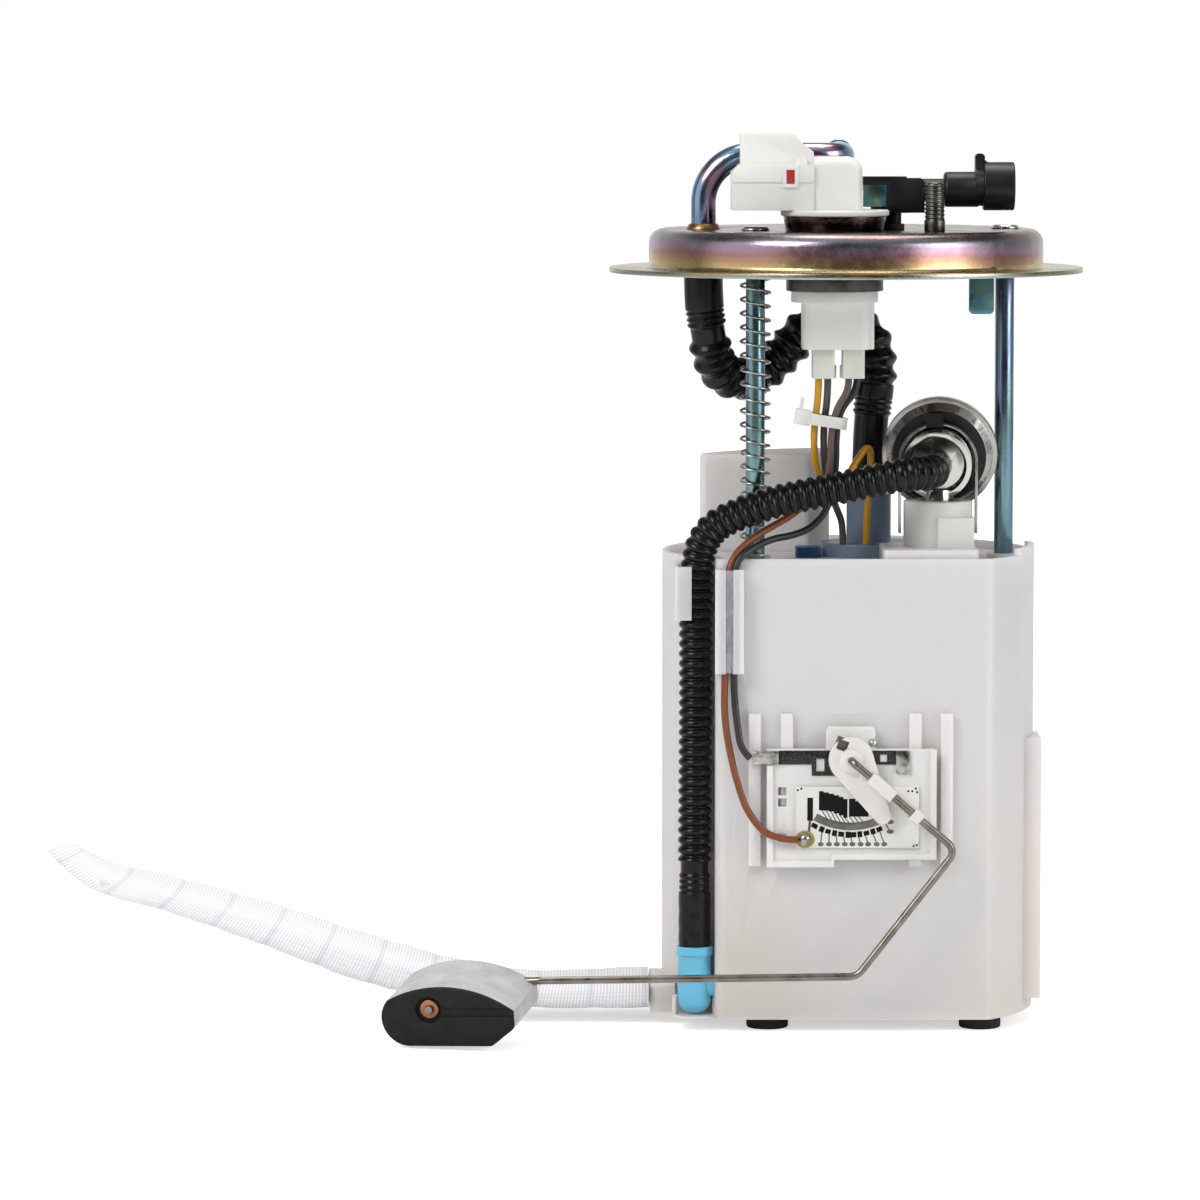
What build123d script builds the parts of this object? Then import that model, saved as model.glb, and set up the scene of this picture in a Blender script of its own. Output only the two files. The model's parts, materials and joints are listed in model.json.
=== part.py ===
from build123d import *
import os
from math import cos, pi, radians, sin, sqrt, tan

# An in-tank fuel pump module, in millimetres, +Z up. The origin is the centre of the underside of the
# flange rim, which seats on the tank; -Y is the side that carries the level sender.

# ---------------------------------------------------------------- fits
SEAT_GAP = 0.05          # radial gap of a pressed or moulded seat
RUNNING_GAP = 0.06       # radial gap of a shaft that slides or turns
PIECE_GAP = 0.3          # gap between neighbours that only lie beside each other

# ---------------------------------------------------------------- flange
RIM_RADIUS = 76.0
SHEET = 1.5
DOME_RADIUS = 63.3
DOME_HEIGHT = 13.8
DOME_EDGE = 4.5
DOME_FOOT = 1.8
DOME_INSIDE = DOME_HEIGHT - SHEET

# ---------------------------------------------------------------- electrical connector
CONN_X = -4.6
CONN_Y = -28.0
COLLAR_RADIUS = 15.6
COLLAR_FLARE = 0.8
COLLAR_HEIGHT = 4.8
COLLAR_WALL = 1.3
SLEEVE_RADIUS = 13.6
DISC_RADIUS = 17.2
DISC_THICK = 1.9
NECK_RADIUS = 11.8
SOCKET_LEFT = 32.9       # from the connector axis to the socket mouth
SOCKET_DEEP = 22.0
SOCKET_TALL = 14.4
SOCKET_WALL = 1.8
SOCKET_CAVITY = 16.0
LATCH_LEFT = 30.0
LATCH_RIGHT = 13.2
LATCH_TALL = 9.6
HOOD_LEFT = 7.0
HOOD_RIGHT = 8.4
HOOD_DEEP = 19.0
HOOD_TALL = 16.8
HOOD_ROUND = 4.4
SOCKET_CHAMFER = 2.6     # upper left corner of the socket
SOCKET_STEP = 8.9        # the socket's sides are set in below this height
SOCKET_STEP_IN = 0.5
SLOPE_MIDDLE = (-15.5, 41.9)
SLOPE_LOW = (-11.7, 38.9)
RIB_LEFT = 12.8
RIB_RIGHT = 9.3
RIB_PROUD = 0.7
RIB_TALL = 16.4
LOCK_FRAME = 1.1
LOCK_BACK = 1.2
LOCK_WIDE = 2.6
LOCK_TALL = 4.4
LOCK_UP = 8.4
BLADE_WIDE = 2.3
BLADE_THICK = 0.7
BLADE_PITCH = 4.6
RING_RADIUS = 15.4
RING_BOTTOM = -5.1
RING_TALL = 7.0
LOWER_FLANGE_RADIUS = 13.8
LOWER_FLANGE_THICK = 3.6
LOWER_BODY_LONG = 22.8
LOWER_BODY_DEEP = 18.0
LOWER_BODY_TALL = 14.8
KEY_RIDGE = 1.6
PLUG_LONG = 7.0
PLUG_DEEP = 11.0
PLUG_TALL = 9.3
PLUG_OUT = (-3.6, 5.9)   # places of the two plugs along X, from the connector axis
LATCH_PIP = 1.6
LATCH_PIP_TALL = 4.0
LATCH_PIP_DEEP = 4.0
PLUG_CORNER = 0.8
LATCH_IN = 2.0           # the latch tower is this much narrower on each side
LOCK_SUNK = 0.1
BLADE_UP = 5.0
BLADE_BACK = 5.0         # the blades end this far inside the socket
BLADE_FOOT = 4.0
BLADES = 4
HOOD_CORNER = 3.0
LOWER_CORNER = 3.0
LOWER_SHIFT = 1.0        # the lower body stands this far to the right
RIDGE_LONG = 6.0
RIDGE_IN = 3.5
CONNECTOR_LOW = DOME_HEIGHT + COLLAR_HEIGHT + DISC_THICK
PLUG_LOW = RING_BOTTOM - LOWER_FLANGE_THICK - LOWER_BODY_TALL - PLUG_TALL

# ---------------------------------------------------------------- outlet pipe
PIPE_X = -45.9
PIPE_Y = -8.0
PIPE_RADIUS = 4.0
PIPE_WALL = 1.0
PIPE_LEVEL = 37.4
PIPE_BEND = 15.0
PIPE_BEND_BACK = 9.0
PIPE_END_X = -1.3
PIPE_END_Y = 40.0
PIPE_FOOT = 1.0
BEAD_RADIUS = 4.6
BEAD_LONG = 1.6
BEAD_BACK = 9.0
BRAZE_RADIUS = 5.6
BRAZE_TALL = 1.8

# ---------------------------------------------------------------- pressure sensor and stud
SENSOR_Y = -16.4
SENSOR_LEFT = 4.6
SENSOR_BLOCK = 18.5
SENSOR_RIGHT = 24.3
SENSOR_TOP = 30.8
SENSOR_RIGHT_DROP = 0.5  # the right-hand body is this much lower
SENSOR_CORNER = 1.2
SENSOR_SIDE_IN = 1.5
SENSOR_LEG_OUT = 2.0     # the leg ends this far below the dome's sheet
SENSOR_BOTTOM = 19.3
SENSOR_DEEP = 9.6
SENSOR_BAR = 2.6
SENSOR_PLATE_LOW = 21.2
SENSOR_POST = 6.6
BRACKET_LEG = 4.5
SENSOR_LEG_X = 14.4
SENSOR_LEG_RADIUS = 2.6
SENSOR_NECK_RADIUS = 3.4
SENSOR_BODY_LEFT = 30.4
SENSOR_BODY_RADIUS = 5.6
SENSOR_AXIS = 26.7
COLLAR_LEFT = 40.4
SENSOR_COLLAR_RADIUS = 6.3
BARREL_LEFT = 42.9
BARREL_RIGHT = 52.9
BARREL_AXIS = 27.7
BARREL_RADIUS = 7.7
BARREL_WALL = 1.5
BARREL_DEEP = 9.0
BARREL_LATCH_WIDE = 3.0
BARREL_LATCH_TALL = 2.7
BARREL_PIN_RADIUS = 0.6
BARREL_PIN_PITCH = 2.6
BARREL_PIN_BACK = 3.0    # the pins end this far inside the mouth
SEAL_RADIUS = 3.6
SEAL_TALL = 2.0
STUD_X = 26.7
STUD_Y = -34.0
STUD_RADIUS = 2.9
STUD_TOP = 29.3
STUD_BASE_RADIUS = 3.3
STUD_BASE_TALL = 3.6
STUD_HEAD_RADIUS = 6.0

# ---------------------------------------------------------------- rods, spring and tab
ROD_RADIUS = 3.05
ROD_NECK_RADIUS = 2.4
ROD_LEFT = (-29.6, -24.0)
ROD_RIGHT = (51.0, -2.0)
ROD_HEAD_RADIUS = 4.5
ROD_HEAD_TALL = 1.3
ROD_TAIL = 4.0
CLIP_RADIUS = 5.0
CLIP_THICK = 1.0
CLIP_GROOVE = 0.5
SPRING_RADIUS = 4.6      # of the wire's centre line
SPRING_WIRE = 0.8
SPRING_PITCH = 4.4
SPRING_STEPS = 10        # straight steps in each turn of the coil
TAB_X = 42.5
TAB_Y = -20.0
TAB_WIDE = 8.0
TAB_LOW = -12.9
TAB_FOOT = 10.0

# ---------------------------------------------------------------- cable tie
TIE_X = -6.95
TIE_Y = -28.9
TIE_Z = -46.4
TIE_LONG = 10.8
TIE_DEEP = 7.0
TIE_WALL = 1.0
TIE_TALL = 3.6
TIE_LEAN = 9.0           # the band dips to the right
TIE_CORNER = 2.2
TIE_HEAD = 4.8

# ---------------------------------------------------------------- reservoir
RES_X = 1.0
RES_RADIUS = 60.0
RES_WALL = 2.0
RES_FLOOR = 2.5
RES_TOP = -89.5
RES_BOTTOM = -236.5
RES_FRONT = RES_RADIUS - 19.0    # from the axis to the flat front
RES_CORNER = 3.0
CHANNEL_EDGE = RES_X - RES_RADIUS + 16.5    # the front left corner is cut back here for the return hose
CHANNEL_BACK = 13.0 - RES_FRONT
LEDGE_WIDE = 1.6
LEDGE_TALL = 3.0
RAIL_PLACES = (-30.0, -19.8, 20.9, 30.9)
RAIL_WIDE = 3.8
RAIL_TOP = -138.5
RAIL_BOTTOM = -187.0
RAIL_OUT = 2.5
WIRE_CHANNEL_X = -38.1
CHANNEL_WIRE_Y = -RES_FRONT - 2.9
WIRE_CHANNEL_TOP = -92.5
WIRE_CHANNEL_LOW = -125.5
WIRE_CHANNEL_WALL = 1.5
WIRE_CHANNEL_DEEP = 5.4
WIRE_SLOT = 2.4
WIRE_LIP = 1.0
ROOT = 0.5               # depth to which a rib or wall is rooted in the wall behind it
WIRE_CHANNEL_WIDE = 6.0
HOOK_TOP = -92.0
HOOK_LOW = -109.0
HOOK_LEFT = CHANNEL_EDGE - 12.8
HOOK_LIP = 5.3
HOOK_WALL = 1.1
HOOK_ROOT = 12.0         # the arm runs this far behind the channel
SIDE_PAD_TOP = -148.5
SIDE_PAD_OUT = 1.4
SIDE_PAD_DEEP = 22.0
SIDE_PAD_ROOT = 8.0
SIDE_PAD_LOW = RES_BOTTOM + 4.0
LUG_TOP = -87.4          # raised rim beside the right rod
LUG_LEFT = RES_X + RES_RADIUS - 8.0
LUG_FRONT = -26.0
LUG_BACK = 8.0
PORT_Y = -8.0
PORT_OUT = 4.0
PORT_WALL = 1.4
PORT_SIDE_WALL = 2.0

# ---------------------------------------------------------------- reservoir cover
COVER_TOP = -92.0
COVER_THICK = 2.0
GUIDE_RADIUS = 5.4
GUIDE_LOW = -110.0
GUIDE_TOP = -90.5
PLATFORM_LEFT = 10.8
PLATFORM_RIGHT = 41.0
PLATFORM_FRONT = -38.4
PLATFORM_BACK = -5.0
PLATFORM_TOP = -86.9

# ---------------------------------------------------------------- pump, cap and filter
PUMP_X = 8.0
PUMP_Y = 8.0
PUMP_RADIUS = 19.0
PUMP_TOP = -97.0
PUMP_LOW = -196.0
PUMP_CAN_EDGE = 2.0
PUMP_INLET_RADIUS = 5.0
PUMP_INLET_LOW = -216.0
SLEEVE_TOP = -160.0
ISOLATOR_WALL = 2.5
CAP_BASE_RADIUS = 15.8
CAP_BASE_TOP = -87.6
CAP_NECK_RADIUS = 7.2
CAP_NECK_TOP = -72.0
CAP_SKIRT_LOW = -106.0
CAP_SKIRT_WALL = 1.6
CAP_CLIP_LONG = 8.0
CAP_CLIP_DEEP = 9.0
CAP_CLIP_TOP = -88.6
FILTER_RADIUS = RES_RADIUS - 7.0
FILTER_FRONT = 20.5
FILTER_RIGHT = -4.0
FILTER_TOP = -60.0
FILTER_LOW = -214.0
FILTER_WALL = 2.0
FILTER_EDGE = 1.2
FILTER_CORNER = 2.5
FILTER_GAP = 1.5         # from the pump's rubber sleeve
ELEMENT_GAP = 0.5
ELEMENT_TOP_GAP = 9.0

# ---------------------------------------------------------------- pressure regulator
REG_X = 30.2
REG_Y = -6.0
REG_Z = -58.1
REG_YAW = 6.0            # the regulator's face turns to the left
REG_DIP = 11.0           # and down
REG_CAN_RADIUS = 18.5
REG_CAN_THICK = 9.0
REG_ROLL = 1.4
REG_BACK_RADIUS = 11.0
REG_BACK_TALL = 6.0
REG_NOSE_RADIUS = 11.0
REG_NOSE_LONG = 12.0
REG_NOSE_RECESS = 3.0
REG_NOZZLE_RADIUS = 3.4
REG_NOZZLE_LONG = 2.6
CUP_Y = -17.0
CUP_RADIUS = 11.0
CUP_WALL = 2.0
CUP_TOP = -72.4
CUP_BLOCK_LEFT = 28.2
CUP_BLOCK_TOP = -77.4
CUP_BLOCK_OUT = 1.2
REG_SPIGOT_RADIUS = 5.0
CLIP_STRIP = 0.8
CLIP_STRIP_GAP = 0.8
CLIP_STRIP_WIDE = 4.5
CLIP_LEG_LOW = -83.0
CLIP_TAB_WIDE = 5.7
CLIP_TAB_TOP = -44.7
CLIP_TAB_LEFT = 24.9

# ---------------------------------------------------------------- hoses and wires
FEED_HOSE = 12.6
RETURN_HOSE = 10.4
RETURN_LEAD = 10.0       # straight run out of the regulator's nozzle
WIRE = 2.2
ARC_SHARE = 0.45
CORD_GAP = 1.0

# ---------------------------------------------------------------- elbow and jet
ELBOW_X = CHANNEL_EDGE - 6.4
ELBOW_Y = 7.0 - RES_FRONT
ELBOW_RIM_RADIUS = 5.9
ELBOW_RIM_TOP = -213.7
ELBOW_RIM_TALL = 2.9
ELBOW_RADIUS = 5.3
ELBOW_LOW = RES_BOTTOM + 1.0
ELBOW_BOTTOM_ROUND = 4.7
ELBOW_CUP_WALL = 1.2
ELBOW_CUP_FLOOR = 0.8
ELBOW_NECK_RADIUS = 3.5
ELBOW_NECK_Z = -226.5
ELBOW_BORE = 2.4
JET_LONG = 16.0
JET_TIP_RADIUS = 2.0
JET_BORE = 1.0
ELBOW_NECK_OUT = 3.0

# ---------------------------------------------------------------- feet and check valve
FOOT_RADIUS = 6.7
FOOT_TALL = 4.0
FOOT_STEM_RADIUS = 2.6
FOOT_HEAD_RADIUS = 4.2
FOOT_HEAD_TALL = 1.6
FOOT_LEFT = RES_X - 26.5
FOOT_RIGHT = RES_X + RES_RADIUS - 18.5
FOOT_FRONT = 11.5 - RES_FRONT
FOOT_BACK = RES_RADIUS - 25.0
FOOT_PLACES = (
    (FOOT_LEFT, FOOT_FRONT),
    (FOOT_RIGHT, FOOT_FRONT),
    (FOOT_LEFT, FOOT_BACK),
    (FOOT_RIGHT - 8.5, FOOT_BACK),
)
VALVE_X = 18.0
VALVE_Y = -20.0
VALVE_RADIUS = 6.0
VALVE_THICK = 1.2
VALVE_PORT = 2.0
VALVE_STEM = 1.5
VALVE_PORT_CIRCLE = 3.6
VALVE_STEM_OUT = 0.8

# ---------------------------------------------------------------- strainer
SOCK_DEEP = 38.0
SOCK_WALL = 0.8
NECK_DEEP = 30.0
NECK_TALL = 5.4
NECK_WALL = 1.2
NECK_CORNER = 1.5
NECK_LEFT = -68.0
NECK_RIGHT = -8.0
NECK_Z = -231.2
SKELETON_RIB = 1.0
SKELETON_DEEP = 30.0
SKELETON_RUNGS = 6
SKELETON_STRINGER = 1.4

# ---------------------------------------------------------------- level sender
HUB_X = 0.3
HUB_Z = -152.3
FRAME_LEFT = -26.2
FRAME_RIGHT = 27.5
FRAME_TOP = -149.4
FRAME_LOW = -187.0
FRAME_STEP_X = -4.8      # right of this the frame ends higher
FRAME_LOW_RIGHT = -184.6
FRAME_BASE = 1.5
FRAME_RIM = 1.5
FRAME_RIM_WIDE = 2.0
FRAME_WINDOW_X = -22.6
FRAME_WINDOW = 2.6
FRAME_WINDOWS = (-164.2, -167.8, -179.0)    # lower edges of the square windows
HUB_BRIDGE = 15.6
HUB_BRIDGE_TOP = -142.3
HUB_BRIDGE_CORNER = 1.5
PIVOT_FLOOR = 0.6
PIVOT_BOSS_RADIUS = 3.6
CARD_LEFT = -17.0
CARD_RIGHT = 21.9
CARD_TOP = -161.3
CARD_LOW = CARD_TOP - 19.5
CARD_THICK = 1.0
STRIP_LEFT = -22.5
STRIP_RIGHT = 14.6
STRIP_LOW = CARD_TOP + 7.0
STRIP_TOP = STRIP_LOW + 4.4
STRIP_THICK = 0.4
STRIP_TAB_LEFT = -12.0
STRIP_TAB_RIGHT = -3.0
STRIP_TAB_TALL = 3.6
STRIP_WINDOWS = ((-10.6, -2.2, 2.6, 4.0), (9.6, 0.8, 2.2, 2.4))    # left, height, width and height of each
CRIMP_LONG = 8.0
CRIMP_TALL = 4.4
CRIMP_THICK = 1.8
CRIMP_ROUND = 0.6
CLINCH_LONG = 4.3
CLINCH_OUT = 0.6
CLINCH_LOW = 2.6
SOLDER_X = -14.2
SOLDER_Z = CARD_LOW + 2.8
SOLDER_RADIUS = 2.2
ARM_PLATE_Y = -RES_FRONT - 7.6    # back face of the wiper arm plate
ARM_PLATE_THICK = 1.8
HUB_RADIUS = 7.1
HUB_BOSS_RADIUS = 3.6
ARM_TIP_X = 10.2
ARM_TIP_Z = -170.2
ARM_BEND = (33.4, -180.6)
ARM_LOW = (2.1, -220.5)
HUB_WINDOW = 3.4
HUB_WINDOW_PLACE = (-2.4, -147.7)
HUB_WINDOW_TURN = 20.0
RIVET_PLACE = (7.3, -147.4)
RIVET_RADIUS = 1.3
ARM_TIP_RADIUS = 2.6
FLOAT_WIRE = 2.4
WIRE_FIT = 0.03
WIRE_BENDS = [2.4, 3.6, 5.0, 6.0, 2.6]
PIVOT_END = -RES_FRONT - RAIL_OUT - 1.2
ARM_LEAN = 1.5           # the wire's lower bend lies this far in front of its upper run
WIRE_PLANE = ARM_PLATE_Y - 5.4
CLIP_ONE = 12.5          # along the wire from the hub
CLIP_ONE_LONG = 9.5
CLIP_TWO = 27.0
CLIP_TWO_LONG = 3.4
CLIP_BLOCK = 4.2
CLIP_ROUND = 0.6
CONTACT_THICK = 0.3
CONTACT_WIDE = 3.0
CONTACT_LOW = 1.0
CONTACT_LONG = 8.0
CONTACT_FINGER = 1.2

# ---------------------------------------------------------------- float
FLOAT_PIN = (-125.7, -51.3, -223.3)
FLOAT_YAW = -14.4
FLOAT_PITCH = 9.6
FLOAT_ROLL = -4.5        # about its pin
FLOAT_DEEP = 29.0
FLOAT_BACK = 1.4
FLOAT_LEFT = -15.8
FLOAT_RIGHT = 27.4
FLOAT_TOP = 7.3
FLOAT_CROWN = 6.5
FLOAT_LOW = -12.0
FLOAT_SHOULDER = -0.4
FLOAT_NOSE = -6.0
FLOAT_HEEL = 19.5
FLOAT_TOE = -7.6
FLOAT_ROUND = 3.0
FLOAT_TIP_ROUND = 1.2
FLOAT_EDGE = 0.8
FLOAT_GROOVE_UP = 1.0
GROOVE_LEAD = 1.5        # the wire is straight for this far before it enters the float
FLOAT_SLOT = (-2.2, 0.8)
FLOAT_SLOT_DEEP = 0.8
NUT_RADIUS = 3.1
NUT_THICK = 1.0
NUT_RECESS_RADIUS = 4.3
NUT_RECESS = 1.6
PIN_PROUD = 1.8

# ---------------------------------------------------------------- routes, as points along each centre line
FEED_ROUTE = [
    (PIPE_X, PIPE_Y, PIPE_FOOT),
    (PIPE_X, PIPE_Y, -8.2),
    (-44.7, -7.1, -17.4),
    (-42.4, -2.9, -29.9),
    (-36.3, 5.2, -35.6),
    (-26.9, 11.7, -33.8),
    (-18.4, 12.5, -25.9),
    (-14.3, 12.3, -20.1),
    (-6.2, 11.3, -15.6),
    (3.0, 10.1, -16.6),
    (9.4, 8.9, -22.9),
    (10.6, 7.6, -32.6),
    (PUMP_X, PUMP_Y, -52.3),
    (PUMP_X, PUMP_Y, CAP_NECK_TOP),
]
RETURN_TAIL = [
    (19.1, -37.8, -62.7),
    (10.1, -40.0, -64.1),
    (-3.9, -40.8, -67.0),
    (-21.8, -41.3, -70.6),
    (-33.5, -39.7, -74.4),
    (ELBOW_X + 4.6, -37.5, -79.7),
    (ELBOW_X + 0.3, -34.8, -90.0),
    (ELBOW_X + 0.3, ELBOW_Y, -111.7),
    (ELBOW_X + 0.3, ELBOW_Y - 0.1, -144.1),
    (ELBOW_X, ELBOW_Y, -179.3),
    (ELBOW_X, ELBOW_Y, ELBOW_RIM_TOP),
]


def plug_x(side):
    return CONN_X + PLUG_OUT[side]


YELLOW_ROUTE = [
    (plug_x(0) - 1.4, CONN_Y, PLUG_LOW),
    (plug_x(0) - 1.4, CONN_Y, -38.0),
    (-10.9, -29.1, -47.3),
    (-11.1, -27.9, -55.2),
    (-10.0, -25.2, -62.7),
    (-6.5, -20.5, -68.1),
    (-0.7, -15.0, -66.6),
    (2.9, -11.6, -60.6),
    (7.6, -7.5, -54.6),
    (8.2, -5.8, -63.1),
    (6.8, -4.4, -76.1),
    (6.8, -4.4, CAP_BASE_TOP),
]
POWER_ROUTE = [
    (plug_x(0) + 1.5, CONN_Y, PLUG_LOW),
    (plug_x(0) + 1.5, CONN_Y, -39.0),
    (-8.0, -26.9, -48.2),
    (-7.7, -24.9, -59.9),
    (-5.8, -18.4, -69.4),
    (-2.9, -10.5, -76.1),
    (-0.8, -4.0, -81.0),
    (-0.8, -4.0, CAP_BASE_TOP),
]
SENSE_A_ROUTE = [
    (plug_x(1) - 1.4, CONN_Y - 2.0, PLUG_LOW),
    (plug_x(1) - 1.4, CONN_Y - 2.0, -36.8),
    (-3.6, -30.5, -41.6),
    (-5.7, -31.0, -49.2),
    (-5.8, -31.0, -58.3),
    (-6.9, -31.0, -66.9),
    (-16.3, -33.0, -74.8),
    (-22.2, -35.0, -78.4),
    (-29.7, -37.6, -82.2),
    (-38.0, -42.7, -89.1),
    (-39.3, CHANNEL_WIRE_Y, -101.9),
    (-39.4, CHANNEL_WIRE_Y + 0.1, -124.6),
    (-39.8, CHANNEL_WIRE_Y - 0.3, -139.9),
    (-37.0, CHANNEL_WIRE_Y - 2.0, -154.8),
    (-34.7, CHANNEL_WIRE_Y - 3.2, -162.8),
    (-32.2, CHANNEL_WIRE_Y - 3.7, -169.5),
    (-25.4, CHANNEL_WIRE_Y - 4.1, SOLDER_Z + 0.2),
    (SOLDER_X - SOLDER_RADIUS - 0.1, CHANNEL_WIRE_Y - 3.7, SOLDER_Z),
]
SENSE_B_ROUTE = [
    (plug_x(1) + 1.4, CONN_Y + 2.0, PLUG_LOW),
    (plug_x(1) + 1.4, CONN_Y + 2.0, -36.8),
    (-2.8, -27.2, -43.0),
    (-4.0, -27.4, -50.8),
    (-3.9, -27.4, -61.4),
    (-6.0, -29.0, -73.8),
    (-11.7, -30.8, -80.4),
    (-18.3, -33.1, -82.7),
    (-24.6, -35.7, -83.4),
    (-32.2, -42.2, -86.6),
    (-36.7, CHANNEL_WIRE_Y, -91.0),
    (-36.6, CHANNEL_WIRE_Y, -104.0),
    (-36.7, CHANNEL_WIRE_Y, -119.9),
    (-36.6, CHANNEL_WIRE_Y - 0.1, -133.0),
    (-35.4, CHANNEL_WIRE_Y - 1.7, -143.0),
    (-34.4, CHANNEL_WIRE_Y - 3.3, STRIP_TOP + 0.5),
    (STRIP_LEFT - CRIMP_LONG - CORD_GAP, CHANNEL_WIRE_Y - 3.7, STRIP_TOP - CRIMP_TALL / 2),
]
SOCK_START = RES_X - RES_RADIUS - PORT_OUT - PIECE_GAP
SOCK_LOWER = [(SOCK_START, -236.2), (-101.6, -236.0), (-127.1, -233.2), (-154.5, -228.2),
              (-194.1, -213.4), (-221.6, -204.0), (-240.9, -198.8), (-253.5, -191.2), (-257.6, -186.4)]
SOCK_UPPER = [(SOCK_START, -225.6), (-102.0, -226.8), (-128.0, -222.4), (-154.8, -214.6),
              (-188.4, -204.0), (-224.8, -194.4), (-237.7, -190.6), (-249.5, -183.6)]


# ================================================================ helpers
def block(x0, x1, y0, y1, z0, z1):
    """A box between two corners."""
    place = Pos((x0 + x1) / 2, (y0 + y1) / 2, (z0 + z1) / 2)
    return place * Box(abs(x1 - x0), abs(y1 - y0), abs(z1 - z0))


def post(x, y, low, high, radius):
    """An upright cylinder between two levels."""
    return Pos(x, y, (low + high) / 2) * Cylinder(radius, high - low)


def post_y(x, z, front, back, radius):
    """A cylinder along Y between two places."""
    return Pos(x, (front + back) / 2, z) * Rot(90, 0, 0) * Cylinder(radius, back - front)


def post_x(y, z, left, right, radius):
    """A cylinder along X between two places."""
    return Pos((left + right) / 2, y, z) * Rot(0, 90, 0) * Cylinder(radius, right - left)


def vertical_edges(shape):
    return shape.edges().filter_by(Axis.Z)


def corner_radii(route):
    """Arc radius at each inner point: as large as its two runs allow."""
    radii = []
    for before, corner, after in zip(route, route[1:], route[2:]):
        run_in = Vector(*corner) - Vector(*before)
        run_out = Vector(*after) - Vector(*corner)
        half_turn = radians(run_in.get_angle(run_out) / 2)
        radii.append(ARC_SHARE * min(run_in.length, run_out.length) / tan(half_turn))
    return radii


def centre_line(route, radii=None):
    return FilletPolyline(*route, radius=radii or corner_radii(route))


def round_bar(route, radius, radii=None):
    """A round bar along straight runs joined by tangent arcs."""
    line = centre_line(route, radii)
    return sweep(Plane(origin=line @ 0, z_dir=line % 0) * Circle(radius), line)


def report_route(name, route):
    radii = ", ".join(f"{r:.0f}" for r in corner_radii(route))
    print(f"{name}: {centre_line(route).length:.0f} mm long, arc radii {radii}")


# ================================================================ flange and what it carries
def flange_plate():
    """Pressed steel closing plate: a flat rim round a hollow dome, pierced for what passes through."""
    dome = post(0, 0, 0, DOME_HEIGHT, DOME_RADIUS)
    dome = fillet(dome.edges().filter_by(GeomType.CIRCLE).sort_by(Axis.Z)[-1], DOME_EDGE)
    plate = dome + post(0, 0, 0, SHEET, RIM_RADIUS)
    foot = plate.edges().filter_by(GeomType.CIRCLE).filter_by(lambda e: abs(e.radius - DOME_RADIUS) < 0.01)
    plate = fillet(foot.sort_by(Axis.Z)[0], DOME_FOOT)
    hollow = post(0, 0, 0, DOME_INSIDE, DOME_RADIUS - SHEET)
    hollow = fillet(hollow.edges().filter_by(GeomType.CIRCLE).sort_by(Axis.Z)[-1], DOME_EDGE - SHEET)
    plate -= hollow
    holes = [
        (CONN_X, CONN_Y, SLEEVE_RADIUS + SEAT_GAP),
        (PIPE_X, PIPE_Y, PIPE_RADIUS + SEAT_GAP),
        (SENSOR_LEG_X, SENSOR_Y, SENSOR_LEG_RADIUS + SEAT_GAP),
        (STUD_X, STUD_Y, STUD_RADIUS + SEAT_GAP),
        (*ROD_LEFT, ROD_NECK_RADIUS + SEAT_GAP),
        (*ROD_RIGHT, ROD_NECK_RADIUS + SEAT_GAP),
    ]
    for x, y, radius in holes:
        plate -= post(x, y, DOME_INSIDE - 1, DOME_HEIGHT + 1, radius)
    return plate


def connector_collar():
    """Steel sleeve through the flange with a flared collar standing on the dome."""
    top = DOME_HEIGHT + COLLAR_HEIGHT
    bore = SLEEVE_RADIUS - COLLAR_WALL
    flare = COLLAR_RADIUS + COLLAR_FLARE
    outline = Polyline(
        (bore, RING_BOTTOM), (SLEEVE_RADIUS, RING_BOTTOM), (SLEEVE_RADIUS, DOME_HEIGHT),
        (COLLAR_RADIUS, DOME_HEIGHT), (flare, top), (flare - COLLAR_WALL, top),
        (COLLAR_RADIUS - COLLAR_WALL, DOME_HEIGHT + COLLAR_WALL), (bore, DOME_HEIGHT + COLLAR_WALL),
        close=True,
    )
    return Pos(CONN_X, CONN_Y, 0) * revolve(Plane.XZ * make_face(outline), Axis.Z)


def connector_seat():
    """Plastic disc on the collar that carries the connector."""
    low = DOME_HEIGHT + COLLAR_HEIGHT
    disc = post(CONN_X, CONN_Y, low, low + DISC_THICK, DISC_RADIUS)
    disc = fillet(disc.edges().filter_by(GeomType.CIRCLE), DISC_THICK / 3)
    return disc - post(CONN_X, CONN_Y, low - 1, low + DISC_THICK + 1, NECK_RADIUS + SEAT_GAP)


def around_connector(x0, x1, half, z0, z1):
    """A box centred on the connector in Y."""
    return block(x0, x1, CONN_Y - half, CONN_Y + half, z0, z1)


def side_view(y):
    """Plane of side outlines in X and Z, seen from the front."""
    return Plane(origin=(0, y, 0), x_dir=(1, 0, 0), z_dir=(0, -1, 0))


def connector_socket():
    """Socket with a chamfered upper lip, its lower half set in, and the frame round the lock."""
    low = CONNECTOR_LOW
    left = CONN_X - SOCKET_LEFT
    back = CONN_X - HOOD_LEFT
    half = SOCKET_DEEP / 2
    upper = around_connector(left, back, half, low + SOCKET_STEP, low + SOCKET_TALL)
    lip = upper.edges().filter_by(Axis.Y).sort_by(Axis.Z)[-2:].sort_by(Axis.X)[0]
    upper = chamfer(lip, SOCKET_CHAMFER)
    lower = around_connector(left, back, half - SOCKET_STEP_IN, low, low + SOCKET_STEP)
    lock_x = left + SOCKET_CAVITY + LOCK_BACK
    lock_z = low + LOCK_UP
    frame = around_connector(lock_x - LOCK_FRAME, lock_x + LOCK_WIDE + LOCK_FRAME, half + SOCKET_STEP_IN,
                             lock_z - LOCK_FRAME, lock_z + LOCK_TALL + LOCK_FRAME)
    return upper + lower + frame


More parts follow.
